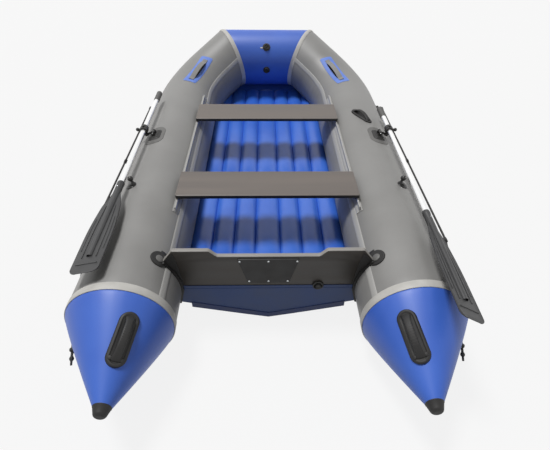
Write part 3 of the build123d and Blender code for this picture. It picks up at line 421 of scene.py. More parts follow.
def pad_steps(half, height, edge, root=0.0015):
    """Steps of a flat-topped pad with a round edge, rooted a little below its surface."""
    return [
        (0, -root), (0, height - edge), (0.3 * edge, height - 0.3 * edge), (edge, height),
        (edge + (half - edge) * 0.5, height), (half, height),
    ]


def plate_across(outline, steps):
    """A plate across the boat: its outline is in X and Z, and steps are (inset, Y)."""
    rings = [[Vector((x, y, z)) for x, z in drawn_in(outline, inset)] for inset, y in steps]
    return solid(rings)


# ---- places on the hull
def side_place(station):
    """Centre of the starboard tube at a station, with its inboard, up and forward directions."""
    centre = Vector((AXIS_X, TRANSOM_AFT + station, AXIS_Z))
    turn = 0.0
    if station > BEND_START:
        turn = min((station - BEND_START) / BEND_RADIUS, BEND)
        beyond = max(station - BEND_END, 0.0)
        sideways = BEND_RADIUS * (1 - cos(turn)) + beyond * sin(turn)
        ahead = BEND_RADIUS * sin(turn) + beyond * cos(turn)
        centre = Vector((AXIS_X - sideways * cos(LEAN), BEND_Y + ahead, AXIS_Z + sideways * sin(LEAN)))
    spin = Quaternion(BEND_AXIS, turn)
    inboard, forward = spin @ INBOARD, spin @ AHEAD
    return centre, inboard, forward.cross(inboard), forward


def side_spoke(station, angle):
    """The starboard tube's middle at a station, the way forward, and the way out at an angle."""
    centre, inboard, up, forward = side_place(station)
    angle = radians(angle)
    return centre, forward, inboard * cos(angle) + up * sin(angle)


def on_side(station, angle, lift=0.0):
    """A point on the starboard tube, lifted off its surface."""
    centre, _, out = side_spoke(station, angle)
    return centre + out * (TUBE_RADIUS + lift)


def side_seat(station, angle):
    """Origin on the starboard tube with the directions along it, across it and away from it."""
    centre, forward, out = side_spoke(station, angle)
    return centre + out * TUBE_RADIUS, forward, out.cross(forward), out


def bow_seat(x, angle):
    """Origin and directions on the bow tube: 0 degrees is its aft side and 90 its top."""
    angle = radians(angle)
    out = Vector((0, -cos(angle), sin(angle)))
    return Vector((x, BOW_Y, BOW_Z)) + out * TUBE_RADIUS, OUTBOARD, out.cross(OUTBOARD), out


MITRE_NORMAL = (side_place(BEND_END)[3] + INBOARD).normalized()
MITRE_POINT = Vector((BOW_HALF_WIDTH, BOW_Y, BOW_Z))


def mitred(angle, offset, lift=0.0):
    """Where a line along the tubes crosses a plane beside the mitre, positive toward the bow tube."""
    start = on_side(BEND_END, angle, lift)
    forward = side_place(BEND_END)[3]
    near = start + forward * ((MITRE_POINT - start).dot(MITRE_NORMAL) / forward.dot(MITRE_NORMAL))
    along = forward if offset < 0 else INBOARD
    return near + along * (offset / along.dot(MITRE_NORMAL))


# The cone's small end lies a little inboard of the tube's centre line and above it.
CONE_TIP_INBOARD = 0.0375
CONE_TIP_RISE = 0.036
CONE_TIP_RADIUS = 0.0295
CONE_BELLY = 1.07


def cone_section(share):
    """Centre and radius of the tail cone at a share of its length from the seam."""
    y = BAND_AFT + (CONE_END - BAND_AFT) * share
    centre = Vector((AXIS_X - CONE_TIP_INBOARD * share, y, AXIS_Z + CONE_TIP_RISE * share))
    swell = 1 - max(share, 0.0) ** CONE_BELLY
    return centre, CONE_TIP_RADIUS + (TUBE_RADIUS - CONE_TIP_RADIUS) * swell


def on_cone(share, angle, lift=0.0):
    centre, radius = cone_section(share)
    angle = radians(angle)
    return centre + Vector((-cos(angle), 0, sin(angle))) * (radius + lift)


def cone_seat(share, angle):
    forward = (on_cone(share - 0.01, angle) - on_cone(share + 0.01, angle)).normalized()
    radial = on_cone(share, angle, 1) - on_cone(share, angle)
    out = forward.cross(radial.cross(AHEAD)).normalized()
    if out.dot(radial) < 0:
        out = -out
    return on_cone(share, angle), forward, out.cross(forward), out


def off_side(point):
    """Height of a point above the starboard tube."""
    if point.y <= BEND_Y:
        return hypot(point.x - AXIS_X, point.z - AXIS_Z) - TUBE_RADIUS
    centre = Vector((AXIS_X - BEND_RADIUS * cos(LEAN), BEND_Y, AXIS_Z + BEND_RADIUS * sin(LEAN)))
    from_centre = point - centre
    high = from_centre.dot(BEND_AXIS)
    outward = from_centre.dot(Vector((cos(LEAN), 0, -sin(LEAN))))
    if atan2(from_centre.y, outward) < BEND:
        return hypot(hypot(outward, from_centre.y) - BEND_RADIUS, high) - TUBE_RADIUS
    centre, _, _, forward = side_place(BEND_END)
    from_end = point - centre
    return (from_end - forward * from_end.dot(forward)).length - TUBE_RADIUS


def off_cone(point):
    """Nearly the height of a point above the tail cone, a little short so that a search settles."""
    centre, radius = cone_section((BAND_AFT - point.y) / (BAND_AFT - CONE_END))
    return 0.8 * (hypot(point.x - centre.x, point.z - centre.z) - radius)


def off_bow(point):
    return hypot(point.y - BOW_Y, point.z - BOW_Z) - TUBE_RADIUS


def draped(seat, height_above, turn=0.0):
    """A place function that lays a drawing on a curved tube, turned about its own middle."""
    origin, along, across, out = seat
    spin = Quaternion(out, turn)
    along, across = spin @ along, spin @ across

    def place(u, v, height):
        point = origin + along * u + across * v + out * 0.03
        for _ in range(30):
            gap = height_above(point)
            if abs(gap) < 1e-5:
                break
            point -= out * gap
        return point + out * height

    return place


def flat(seat):
    origin, along, across, out = seat
    return lambda u, v, height: origin + along * u + across * v + out * height


# ---- hull tubes
RING = 96
RING_STEP = 0.018
ANGLES = [360.0 * step / RING for step in range(RING)]


def gathers(distance, angle):
    """Small puckers that fan out from a welded seam and die away, and the pinch at the seam."""
    turn = radians(angle)
    wave = sin(31 * turn) + 0.6 * sin(53 * turn + 1.0)
    return 0.00035 * wave * exp(-distance / 0.05) - 0.0012 * exp(-distance / 0.008)


def slack(station, angle):
    """Depth of the soft creases on the inner side of the bow's bend."""
    inner = max(cos(radians(angle + 12)), 0.0) ** 2
    window = exp(-(((station - (BEND_START + BEND_END) / 2) / 0.22) ** 2))
    return -0.0011 * inner * window * (0.5 + 0.5 * sin(station * 2 * pi / 0.075))


def side_tube_skin():
    rings = []
    count = int((BEND_END - CONE_STATION) / RING_STEP) + 1
    stations = [CONE_STATION - SKIN_UNDER_TAPE + RING_STEP * i for i in range(count)]
    for station in stations + [BEND_END]:
        lifts = [gathers(station - CONE_STATION, a) + slack(station, a) for a in ANGLES]
        rings.append([on_side(station, a, lift) for a, lift in zip(ANGLES, lifts)])
    last = rings[-1]
    ends = [mitred(a, SKIN_UNDER_TAPE - BOW_BAND / 2) for a in ANGLES]
    for step in range(1, 13):
        share = 1 - (1 - step / 12) ** 1.5
        ring = []
        for a, start, end in zip(ANGLES, last, ends):
            point = start.lerp(end, share)
            centre, _, _, forward = side_place(BEND_END)
            axis_point = centre + forward * (point - centre).dot(forward)
            ring.append(point + (point - axis_point).normalized() * gathers((end - point).length, a))
        rings.append(ring)
    return loft(rings)


def bow_tube_skin():
    rings = []
    ends = [mitred(a, BOW_BAND / 2 - SKIN_UNDER_TAPE) for a in ANGLES]
    for across in spread(1, -1, 48):
        share = copysign(1 - (1 - abs(across)) ** 1.35, across)
        ring = []
        for a, end in zip(ANGLES, ends):
            out = Vector((0, end.y - BOW_Y, end.z - BOW_Z)).normalized()
            point = Vector((end.x * share, end.y, end.z))
            ring.append(point + out * gathers(end.x * (1 - abs(share)), a))
        rings.append(ring)
    return loft(rings)


def bow_tape():
    """Tape welded over the mitre between a side tube and the bow tube."""
    half = BOW_BAND / 2
    steps = [(along - half, lift) for along, lift in TAPE_EDGE] + [(0, 0.0024)]
    steps += [(half - along, lift) for along, lift in reversed(TAPE_EDGE)]
    return loft([[mitred(a, offset, lift) for a in ANGLES] for offset, lift in steps])


def cone_tape():
    """Tape welded over the seam between a side tube and its tail cone."""
    length = BAND_FORE - BAND_AFT
    steps = TAPE_EDGE + [(length / 2, 0.0026)]
    steps += [(length - along, lift) for along, lift in reversed(TAPE_EDGE)]
    rings = [[on_side(CONE_STATION - along, a, lift) for a in ANGLES] for along, lift in steps]
    return loft([[Vector((point.x, point.y, max(point.z, 0.0))) for point in ring] for ring in rings])


def cone_skin():
    rings = []
    for share in spread(-0.02, 1.0, 56):
        lifts = [gathers(max(share, 0) * (BAND_AFT - CONE_END), a) for a in ANGLES]
        rings.append([on_cone(share, a, lift) for a, lift in zip(ANGLES, lifts)])
    return loft(rings, ends=(False, True))


def cone_tip():
    """Rubber tip bonded over the cone's end: it carries on the taper, then rounds off."""
    centre, _ = cone_section(1.0)
    profile = mm((-3, 30), (-3, 31.8), (-1.5, 31.6), (0, 30.2))
    for step in range(15):
        turn = radians(73) * (1 - step / 14)
        profile.append((0.017 + 0.014 * cos(turn), 0.0097 + 0.014 * sin(turn)))
    return turned(centre, AFT, profile + [(0.0312, 0)], sides=56)


make_pair("tube_skin", [(side_tube_skin(), GREY_PVC)], "grey_pvc", "side_tube")
make("bow_tube_skin", [(bow_tube_skin(), BLUE_PVC)], "blue_pvc", ["bow_tube"])
make("bow_tapes", [(both(bow_tape()), CREAM_TAPE)], "cream_tape", ["bow_seam_bands"])
make("cone_tapes", [(both(cone_tape()), CREAM_TAPE)], "cream_tape", ["cone_seam_bands"])
make_pair("cone_skin", [(cone_skin(), BLUE_PVC)], "blue_pvc", "tail_cone")
make("cone_tips", [(both(cone_tip()), BLACK_RUBBER)], "black_rubber", ["cone_caps"])


# ---- floor and bottom
def between_tubes(z):
    """Half the width between the two side tubes at a height."""
    return AXIS_X - sqrt(TUBE_RADIUS**2 - (z - AXIS_Z) ** 2)


FLOOR_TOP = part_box("inflatable_floor")[1].z
FLOOR_BASE = 0.086
FLOOR_AFT, FLOOR_FORE = (corner.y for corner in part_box("inflatable_floor"))
CENTRE_LOBE = 0.126
LOBE_CROWN = 0.024
END_ROUND = 0.06
END_FALL = 0.035
SIDE_LOBES = 3
FLOOR_HALF = between_tubes(0.136) + 0.004
SIDE_LOBE = (FLOOR_HALF - CENTRE_LOBE / 2) / SIDE_LOBES
LOBE_EDGES = [CENTRE_LOBE / 2 + SIDE_LOBE * i for i in range(SIDE_LOBES + 1)]


def lobe_at(x):
    """Middle and half width of the floor's lobe at X."""
    reach = abs(x)
    if reach <= LOBE_EDGES[0]:
        return 0.0, LOBE_EDGES[0]
    index = min(int((reach - LOBE_EDGES[0]) / SIDE_LOBE), SIDE_LOBES - 1)
    return copysign(LOBE_EDGES[0] + SIDE_LOBE * (index + 0.5), x), SIDE_LOBE / 2


def floor_reach(y):
    """Half width of the floor where the tubes close in on it."""
    near, far = 0.0, FLOOR_HALF
    for _ in range(22):
        middle = (near + far) / 2
        if off_side(Vector((middle, y, 0.134))) > 0:
            near = middle
        else:
            far = middle
    return near


def floor_height(x, y):
    """Top of the floor: round lobes, rounded off at the ends, puckered along their seams."""
    middle, half = lobe_at(x)
    across = min(abs(x - middle) / half, 1.0)
    height = FLOOR_TOP - LOBE_CROWN + LOBE_CROWN * (1 - across**2.3) ** 0.62
    to_end = min(y - FLOOR_AFT, FLOOR_FORE - y)
    if to_end < END_ROUND:
        height -= END_FALL * (1 - sqrt(max(1 - (1 - to_end / END_ROUND) ** 2, 0)))
    pucker = sin(y * 2 * pi / 0.031 + 9 * noise.noise(Vector((middle * 7, y * 3, 0))))
    return height + 0.0006 * pucker * across**4


def floor_skin():
    """Lengthwise inflated lobes between the transom and the bow, closed underneath."""
    columns = []
    for left, right in zip(LOBE_EDGES, LOBE_EDGES[1:]):
        columns += [left + (right - left) * (0.5 - 0.5 * cos(pi * i / 14)) for i in range(14)]
    middle = [LOBE_EDGES[0] * -cos(pi * i / 16) for i in range(16)]
    across = [-x for x in reversed(columns + [LOBE_EDGES[-1]])][:-1] + middle + columns + [LOBE_EDGES[-1]]
    rows = [FLOOR_AFT + END_ROUND * (1 - cos(pi / 2 * i / 8)) for i in range(8)]
    rows += spread(FLOOR_AFT + END_ROUND, FLOOR_FORE - END_ROUND, 150)[:-1]
    rows += [FLOOR_FORE - END_ROUND * (1 - sin(pi / 2 * i / 8)) for i in range(9)]
    rings = []
    for y in rows:
        reach = floor_reach(y)
        xs = [min(max(x, -reach), reach) for x in across]
        ring = [Vector((x, y, floor_height(x, y))) for x in xs]
        ring += [Vector((x, y, FLOOR_BASE)) for x in reversed(xs)]
        rings.append(ring)
    return solid(rings)


make("floor_skin", [(floor_skin(), FLOOR_PVC)], "floor_pvc", ["inflatable_floor"], crease=50)

KEEL_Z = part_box("hull_bottom")[0].z
BOTTOM_SLOPE = 0.2506
WING = between_tubes(0.126) + 0.0432
BOTTOM_FORE = BOW_Y + 0.010


def bottom_height(x, y):
    """The V bottom's underside: a round keel, flat sides a little bellied, rising at the bow."""
    ahead = max((y - BEND_Y) / (BOW_Y - BEND_Y), 0.0)
    wing = WING * (1 - 0.395 * ahead**2.3)
    vee = BOTTOM_SLOPE * WING * (1 - 0.779 * ahead**1.8)
    share = min(abs(x) / wing, 1.0)
    soft = 0.03
    rise = (sqrt(share**2 + soft**2) - soft) / (sqrt(1 + soft**2) - soft)
    belly = 0.004 * sin(pi * share)
    return KEEL_Z + 0.134 * ahead**2.9 + vee * rise - belly, wing


def bottom_skin():
    rings = []
    for y in spread(TRANSOM_FORE, BOTTOM_FORE, 60):
        wing = bottom_height(0, y)[1]
        xs = [wing * (i / 20 - 1) for i in range(41)]
        low = [Vector((x, y, bottom_height(x, y)[0])) for x in xs]
        rings.append(low + [point + UP * 0.006 for point in reversed(low)])
    return solid(rings)


make("bottom_skin", [(bottom_skin(), BLUE_PVC)], "blue_pvc", ["hull_bottom"])


def keel_strake():
    """Rubbing strake along the keel, a low ridge with thin edges."""
    aft, fore = (corner.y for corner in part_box("keel_strip"))
    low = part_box("keel_strip")[0].z
    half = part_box("keel_strip")[1].x
    rings = []
    for y in spread(aft, fore, 40):
        fade = min(1.0, (fore - y) / 0.04 + 0.15)
        under = []
        for share in spread(-1, 1, 12):
            drop = (KEEL_Z - low) * fade * (1 - 0.45 * abs(share))
            under.append(Vector((half * share, y, KEEL_Z + BOTTOM_SLOPE * half * abs(share) - drop)))
        over = [Vector((p.x, p.y, KEEL_Z + BOTTOM_SLOPE * abs(p.x) + 0.002)) for p in reversed(under)]
        rings.append(under + over)
    return solid(rings)


make("keel_strake", [(keel_strake(), RAIL_PVC)], "grey_rail_pvc", ["keel_strip"])


def tube_strip(low, high, start, end, thickness, edge=0.0012):
    """Tape or flange along the starboard tube, with soft edges, from one station to another."""
    turn = degrees(edge / TUBE_RADIUS)
    across = [(low, -0.001), (low, thickness * 0.6), (low + turn, thickness)]
    across += [(low + (high - low) * share, thickness) for share in (0.3, 0.5, 0.7)]
    across += [(high - turn, thickness), (high, thickness * 0.6), (high, -0.001)]
    count = max(int((end - start) / 0.02), 2)
    rings = [[on_side(start, a, -0.001) for a, _ in across]]
    for station in spread(start, end, count):
        rings.append([on_side(station, a, lift) for a, lift in across])
    rings.append([on_side(end, a, -0.001) for a, _ in across])
    return loft(rings, closed=False)


# ---- transom
BOARD_CLEAR = TUBE_RADIUS + 0.005
LOW_TOP = 0.385
LOW_HALF = 0.203
SHOULDER_IN, SHOULDER_OUT = 0.245, 0.385
FOOT_HALF = 0.3865
FOOT_ANGLE = -25.95
CLOTH_STEPS = [(0.001, TRANSOM_AFT - 0.003), (0, TRANSOM_AFT - 0.002), (0, TRANSOM_AFT)]
HIGH_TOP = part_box("transom")[1].z
SKIRT_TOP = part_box("transom_skirt")[1].z
LAP_HALF, LAP_LOW, LAP_HIGH = 0.365, 0.1975, 0.2005
HOLDER_ARC = (2, 45)  # degrees round the tube


def vee_line(x):
    return KEEL_Z + BOTTOM_SLOPE * x


def beside_tube(low, high, count, reach=lambda share: BOARD_CLEAR):
    """Points in X and Z that follow the tube from one angle to another, at a reach from its middle."""
    points = []
    for i, angle in enumerate(spread(low, high, count)):
        turn, away = radians(angle), reach(i / count)
        points.append((AXIS_X - away * cos(turn), AXIS_Z + away * sin(turn)))
    return points


def whole_outline(half):
    """An outline from its starboard half, listed upward from the keel."""
    return half + [(-x, z) for x, z in reversed(half) if x > 1e-6]


def board_foot(top, count):
    """The board's edge from the keel out along the V bottom, then up round the tube to an angle."""
    vee = [(FOOT_HALF * i / 6, vee_line(FOOT_HALF * i / 6)) for i in range(6)]
    return vee + beside_tube(FOOT_ANGLE, top, count)


def transom_outline():
    """The whole board: high shoulders beside the tubes and a lower top edge for the motor."""
    half = board_foot(45.0, 24)
    half += [(x, HIGH_TOP) for x in spread(SHOULDER_OUT, SHOULDER_IN, 4)]
    for t in spread(0, 1, 10)[1:]:
        fall = (HIGH_TOP - LOW_TOP) * t * t * (3 - 2 * t)
        half.append((SHOULDER_IN - (SHOULDER_IN - LOW_HALF) * t, HIGH_TOP - fall))
    half += [(LOW_HALF * (1 - i / 5), LOW_TOP) for i in range(1, 6)]
    return whole_outline(half)


def skirt_outline():
    half = board_foot(degrees(asin((SKIRT_TOP - AXIS_Z) / BOARD_CLEAR)), 10)
    half += [(half[-1][0] * (1 - i / 6), SKIRT_TOP) for i in range(1, 7)]
    return whole_outline(half)


def board():
    edge = 0.0025
    steps = [
        (edge, TRANSOM_AFT), (edge * 0.3, TRANSOM_AFT + edge * 0.3), (0, TRANSOM_AFT + edge),
        (0, TRANSOM_FORE - edge), (edge * 0.3, TRANSOM_FORE - edge * 0.3), (edge, TRANSOM_FORE),
    ]
    return plate_across(transom_outline(), steps)


def is_top(middle, normal):
    return abs(normal.z) > 0.35 and middle.z > 0.35


board_top, board_rest = picked(board(), is_top)
make("transom_board", [(board_rest, DARK_PLY), (board_top, PLY_EDGE)], "dark_plywood", ["transom"])


def skirt():
    """Bottom cloth turned up over the board's aft face, with the edge of its upper lap."""
    lap = whole_outline([(0, LAP_LOW), (LAP_HALF, LAP_LOW), (LAP_HALF, LAP_HIGH), (0, LAP_HIGH)])
    edge = plate_across(lap, [(0.0005, TRANSOM_AFT - 0.0042), (0, TRANSOM_AFT - 0.003)])
    return joined(plate_across(skirt_outline(), CLOTH_STEPS), edge)


def hem():
    """Free edge of the bottom cloth, hanging below the board and lower at its ends."""
    low, high = [], []
    for x, hang, lap in (
        (0, 0.012, 0.016), (0.10, 0.016, 0.014), (0.22, 0.019, 0.012), (0.338, 0.022, 0.010)
    ):
        low.append((x, vee_line(x) - hang))
        high.append((x, vee_line(x) + lap))
    steps = [(0.001, TRANSOM_AFT - 0.006), (0, TRANSOM_AFT - 0.005), (0, TRANSOM_AFT)]
    return plate_across(whole_outline(low + high[::-1]), steps)


make("skirt_cloth", [(skirt(), SHADED_SKIRT_PVC), (hem(), HEM_PVC)], "blue_pvc", ["transom_skirt"])

PAD_LOW, PAD_HIGH = (corner.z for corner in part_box("outer_motor_pad"))
PAD_TOP_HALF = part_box("outer_motor_pad")[1].x
PAD_BOTTOM_HALF = 0.087
PAD_THICKNESS = 0.006


def motor_pad(face_y, outward):
    """Rubber pad with a round edge, and the six screws that hold it."""
    half_outline = [(PAD_BOTTOM_HALF, PAD_LOW), (PAD_TOP_HALF, PAD_HIGH)]
    corners = [(-PAD_BOTTOM_HALF, PAD_LOW)] + half_outline + [(-PAD_TOP_HALF, PAD_HIGH)]
    thick = PAD_THICKNESS * outward
    steps = [(0, face_y), (0, face_y + 0.7 * thick), (0.0012, face_y + thick), (0.004, face_y + thick)]
    screws = []
    for z, half in ((PAD_HIGH - 0.012, PAD_TOP_HALF - 0.010), (PAD_LOW + 0.012, PAD_BOTTOM_HALF - 0.006)):
        for x in (-half, 0, half):
            screws.append(pan_head(Vector((x, face_y + thick, z)), Vector((0, outward, 0)), 0.0048))
    return plate_across(softened(corners, 0.009), steps), joined(*screws)


def pan_head(centre, axis, radius):
    """Domed screw head with a socket."""
    profile = [
        (-0.001, radius), (0.0004, radius), (0.0014, radius * 0.86), (0.0021, radius * 0.55),
        (0.0022, radius * 0.42), (0.0008, radius * 0.38), (0.0006, 0),
    ]
    return turned(centre, axis, profile, sides=20)


for name, face_y, outward in (("outer_motor_pad", TRANSOM_AFT, -1), ("inner_motor_pad", TRANSOM_FORE, 1)):
    pad, screws = motor_pad(face_y, outward)
    make(name + "_plate", [(pad, BLACK_RUBBER)], "black_rubber", [name])
    make(name + "_screws", [(screws, STEEL)], "stainless_steel")

DRAIN_X, _, DRAIN_Z = sum(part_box("drain_plug"), Vector()) / 2


def drain_fitting():
    """Drain valve: a flange outside, a screwed cap with grips in a cup, and a nut inside."""
    aft = Vector((DRAIN_X, TRANSOM_AFT, DRAIN_Z))
    flange = mm((-1, 24), (5.5, 24), (7.5, 22.5), (8, 19), (6.5, 17.5), (3, 16.5), (3, 0))
    cap = mm((2, 13.2), (11.5, 13), (13.5, 11.8), (14, 9.8), (12.2, 8.2), (11.5, 0))
    nut = mm((-1, 19), (4.2, 19), (5.5, 17.5), (6, 13), (4.5, 11.8), (4.5, 0))
    inside = turned(Vector((DRAIN_X, TRANSOM_FORE, DRAIN_Z)), AHEAD, nut, 36, 6, 0.002)
    return joined(turned(aft, AFT, flange, 48), turned(aft, AFT, cap, 48, 12, 0.0016), inside)


make("drain_fitting", [(drain_fitting(), BLACK_RUBBER)], "black_rubber", ["drain_plug"])

HOLDER_LOW, HOLDER_HIGH = -26.0, 49.0
HOLDER_AFT, HOLDER_FORE = -0.014, 0.056
HOLDER_DISC = 0.038


def holder_flange():
    """Moulded transom holder: a strap round the tube with a raised lip against the board."""
    strap = tube_strip(HOLDER_LOW, HOLDER_HIGH, HOLDER_AFT, HOLDER_FORE, 0.005, 0.003)
    lip = tube_strip(HOLDER_LOW, HOLDER_HIGH - 4, HOLDER_AFT + 0.002, -0.0005, 0.011, 0.004)
    ledge = tube_strip(HOLDER_LOW, HOLDER_HIGH - 4, 0.0205, 0.032, 0.011, 0.004)
    seat = side_seat(0.009, HOLDER_HIGH)
    place = draped(seat, off_side)
    washer = raised(
        place, plate(2 * HOLDER_DISC, 2 * HOLDER_DISC, HOLDER_DISC),
        [(0, -0.001), (0, 0.003), (0.0015, 0.0055), (0.005, 0.006), (0.009, 0.0048), (0.014, 0.0045),
         (HOLDER_DISC, 0.0045)],
    )
    button = raised(place, plate(0.034, 0.034, 0.017), mm((0, 3), (0, 5.8), (2, 7.2), (17, 7.8)))
    return joined(strap, lip, ledge, washer, gusset()), button


def gusset():
    """Black wing on the board's aft face beside the tube, wide at the top and narrowing down the tube."""
    outer = beside_tube(*HOLDER_ARC, 16)
    inner = beside_tube(*HOLDER_ARC, 16, lambda share: BOARD_CLEAR + 0.006 + 0.056 * share**2.2)
    return plate_across(outer + inner[::-1], CLOTH_STEPS)


holder, holder_button = holder_flange()
make_pair(
    "holder_flange", [(holder, BLACK_RUBBER), (holder_button, PATCH_GREY)], "black_rubber", "transom_holder"
)

# ---- seam strips and seat rails
RAIL_X = 0.428
RAIL_FOOT = AXIS_Z + sqrt(TUBE_RADIUS**2 - (AXIS_X - RAIL_X) ** 2)
RAIL_ANGLE = degrees(atan2(RAIL_FOOT - AXIS_Z, AXIS_X - RAIL_X))
RAIL_HALF_ANGLE = degrees(0.0174 / TUBE_RADIUS)
RAIL_AFT, RAIL_FORE = 0.325, 1.600
BEAD_Z = 0.3725
STRIP_HIGH = RAIL_ANGLE - RAIL_HALF_ANGLE - degrees(0.0016 / TUBE_RADIUS)
STRIP_LOW = STRIP_HIGH - degrees(0.030 / TUBE_RADIUS)
STRIP_MIDDLE = (STRIP_LOW + STRIP_HIGH) / 2
CHINE_LOW, CHINE_HIGH = -34.5, -25.5


def strips():
    """Welded tapes: the one seen below each rail, fore and aft of the transom's holder."""
    to_mitre = (mitred(STRIP_MIDDLE, -BOW_BAND / 2 + 0.006) - on_side(BEND_END, STRIP_MIDDLE)).length
    stern = tube_strip(STRIP_LOW, STRIP_HIGH, CONE_STATION - 0.002, HOLDER_AFT + 0.001, 0.002)
    bow = tube_strip(STRIP_LOW, STRIP_HIGH, HOLDER_FORE - 0.001, BEND_END + to_mitre, 0.002)
    chine = tube_strip(CHINE_LOW, CHINE_HIGH, 0.030, BEND_START + 0.25, 0.0015)
    return joined(stern, bow, chine)


make("seam_tapes", [(both(strips()), RAIL_PVC)], "grey_rail_pvc", ["seam_strips"])


def rail():
    """Extruded track: a flange welded to the tube, a web and a round bead that the seat slides on."""
    flange = tube_strip(
        RAIL_ANGLE - RAIL_HALF_ANGLE, RAIL_ANGLE + RAIL_HALF_ANGLE, RAIL_AFT, RAIL_FORE, 0.003, 0.002
    )
    profile = [(-0.0025, RAIL_FOOT - 0.010), (0.0025, RAIL_FOOT - 0.010), (0.0025, BEAD_Z - 0.0043)]
    for turn in map(radians, spread(-60, 240, 12)):
        profile.append((0.005 * cos(turn), BEAD_Z + 0.005 * sin(turn)))
    profile.append((-0.0025, BEAD_Z - 0.0043))
    rings = []
    for share in (0.0, 0.5, 1.0):
        ring = []
        for x, z in profile:
            slant = 0.35 * (z - RAIL_FOOT)
            y = TRANSOM_AFT + RAIL_AFT + slant + share * (RAIL_FORE - RAIL_AFT - 2 * slant)
            ring.append(Vector((RAIL_X + x, y, z)))
        rings.append(ring)
    return joined(flange, solid(rings))


make_pair("rail_track", [(rail(), RAIL_PVC)], "grey_rail_pvc", "seat_rail")


# ---- seats
SEAT_CORNER = 0.010


def seat(name):
    """Plywood board with round edges, painted at its edges."""
    low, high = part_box(name + "_board")
    middle = (low + high) / 2
    length, width, thick = high.x - low.x, high.y - low.y, high.z - low.z
    place = flat((Vector((middle.x, middle.y, low.z)), OUTBOARD, AHEAD, UP))

    outline = plate(length, width, SEAT_CORNER, side=14)
    under = raised(place, outline, [(width / 2, 0), (width / 4, 0), (0.003, 0), (0.0018, 0)])
    edge = raised(place, outline, [
        (0.0018, 0), (0.0005, 0.0005), (0, 0.0018), (0, thick - 0.003), (0.0006, thick - 0.0012),
    ])
    top = raised(place, outline, [
        (0.0006, thick - 0.0012), (0.0025, thick), (0.006, thick), (width / 4, thick), (width / 2, thick),
    ])
    parts = [(joined(under, top), SEAT_PLY), (edge, SEAT_EDGE)]
    make(name + "_plank", parts, "seat_plywood", [name + "_board"], name)


seat("fore_seat")
seat("aft_seat")


# ---- handles
BOW_HANDLE_PLACE = (BEND_START + 0.228, 76.0)  # station, angle
GRAB_HANDLE_PLACE = (1.191, 90.0)
GRAB_HANDLE_TURN = radians(24.7)
CONE_HANDLE_PLACE = (0.45, 62.5)  # share of the cone's length, angle
CONE_HANDLE_TURN = radians(4)


def arched_path(place, half, rise, tab=0.0, low=0.0, count=40):
    """Path of a strap or grip over a surface: level tabs at its ends and a round arch between."""
    path = []
    for step in range(count + 1):
        u = (half + tab) * (2 * step / count - 1)
        share = min(abs(u) / half, 1.0)
        path.append(place(u, 0, low + rise * (1 - share**2.2) ** 0.9))
    return path


def bow_handle():
    """Blue patch, a webbing loop stitched down at both ends, and a painted shadow in the gap under the loop:
    a black strip and pad.
    """
    seat_here = side_seat(*BOW_HANDLE_PLACE)
    place = draped(seat_here, off_side)
    out = seat_here[3]
    patch = raised(place, plate(0.340, 0.092, 0.012, side=16), pad_steps(0.046, 0.0022, 0.0015))
    strap = swept(arched_path(place, 0.105, 0.026, 0.030, 0.0045), out, oval(0.034, 0.0042, 6))
    painted_loop_shadow = swept(arched_path(place, 0.100, 0.0225, 0.0, 0.003), out, oval(0.030, 0.003, 5))
    painted_shadow_pad = raised(place, plate(0.200, 0.036, 0.010, side=12), pad_steps(0.018, 0.0036, 0.001, 0.0))
    return patch, strap, joined(painted_loop_shadow, painted_shadow_pad)


patch, strap, painted_loop_shadow = bow_handle()
make_pair("handle_patch", [(patch, PATCH_BLUE)], "blue_pvc", "bow_handle_patch")
# The black rubber under the loop is painted shadow in its gap, carried on the loop's piece.
make_pair("handle_loop", [(strap, GREY_WEBBING), (painted_loop_shadow, BLACK_RUBBER)], "webbing", "bow_handle_strap")


def disc(radius):
    return plate(2 * radius, 2 * radius, radius, arc=10, side=1)


def moulded_grip(place, out, base, height, grip, arch_half, rise, lens=0.0):
    """Moulded handle: a domed base with a raised rim and a round grip bar that flares at its feet."""
    length, width = base
    half = width / 2

    def outline(inset):
        points = rounded_plate(length, width, half, inset, arc=9, side=14)
        if not lens:
            return points
        return [(u, v * (1 - lens * (abs(u) / (length / 2)) ** 2)) for u, v in points]

    steps = [(0, -0.004), (0, 0.3 * height), (0.001, 0.6 * height), (0.003, 0.88 * height), (0.006, height)]
    steps += [(0.010, 0.98 * height), (0.013, 0.78 * height), (0.016, 0.72 * height), (half, 0.72 * height)]
    pad = raised(place, outline, steps)
    wide, thick = grip

    def section(share):
        flare = max(abs(2 * share - 1) - 0.62, 0) / 0.38
        return oval(wide * (1 + 0.35 * flare**2), thick * (1 + 0.25 * flare), 2.8, 28)

    bar = swept(arched_path(place, arch_half, rise - thick / 2, 0.0, 0.5 * height, 48), out, section)
    ribs = []
    for step in range(-4, 5):
        u = step * arch_half * 0.12
        share = abs(u) / arch_half
        top = 0.5 * height + (rise - thick / 2) * (1 - share**2.2) ** 0.9
        line = [place(u, wide * 0.38 * (i / 4 - 1), top + thick * 0.49) for i in range(9)]
        ribs.append(swept(line, out, oval(0.0022, 0.0012, 2.0, 8)))
    return joined(pad, bar, *ribs)


def cone_handle():
    """Lifting handle on a tail cone, with a moulding button each side of the bar's aft foot."""
    here = cone_seat(*CONE_HANDLE_PLACE)
    place = draped(here, off_cone, CONE_HANDLE_TURN)
    grip = moulded_grip(place, here[3], (0.195, 0.072), 0.011, (0.027, 0.012), 0.073, 0.034)
    steps = mm((0, 4), (0, 12), (1.5, 13.8), (4, 14.5), (7.5, 14.6))
    buttons = [
        raised(lambda u, v, height: place(u - 0.070, v + side * 0.021, height), disc(0.0075), steps)
        for side in (-1, 1)
    ]
    return joined(grip, *buttons)


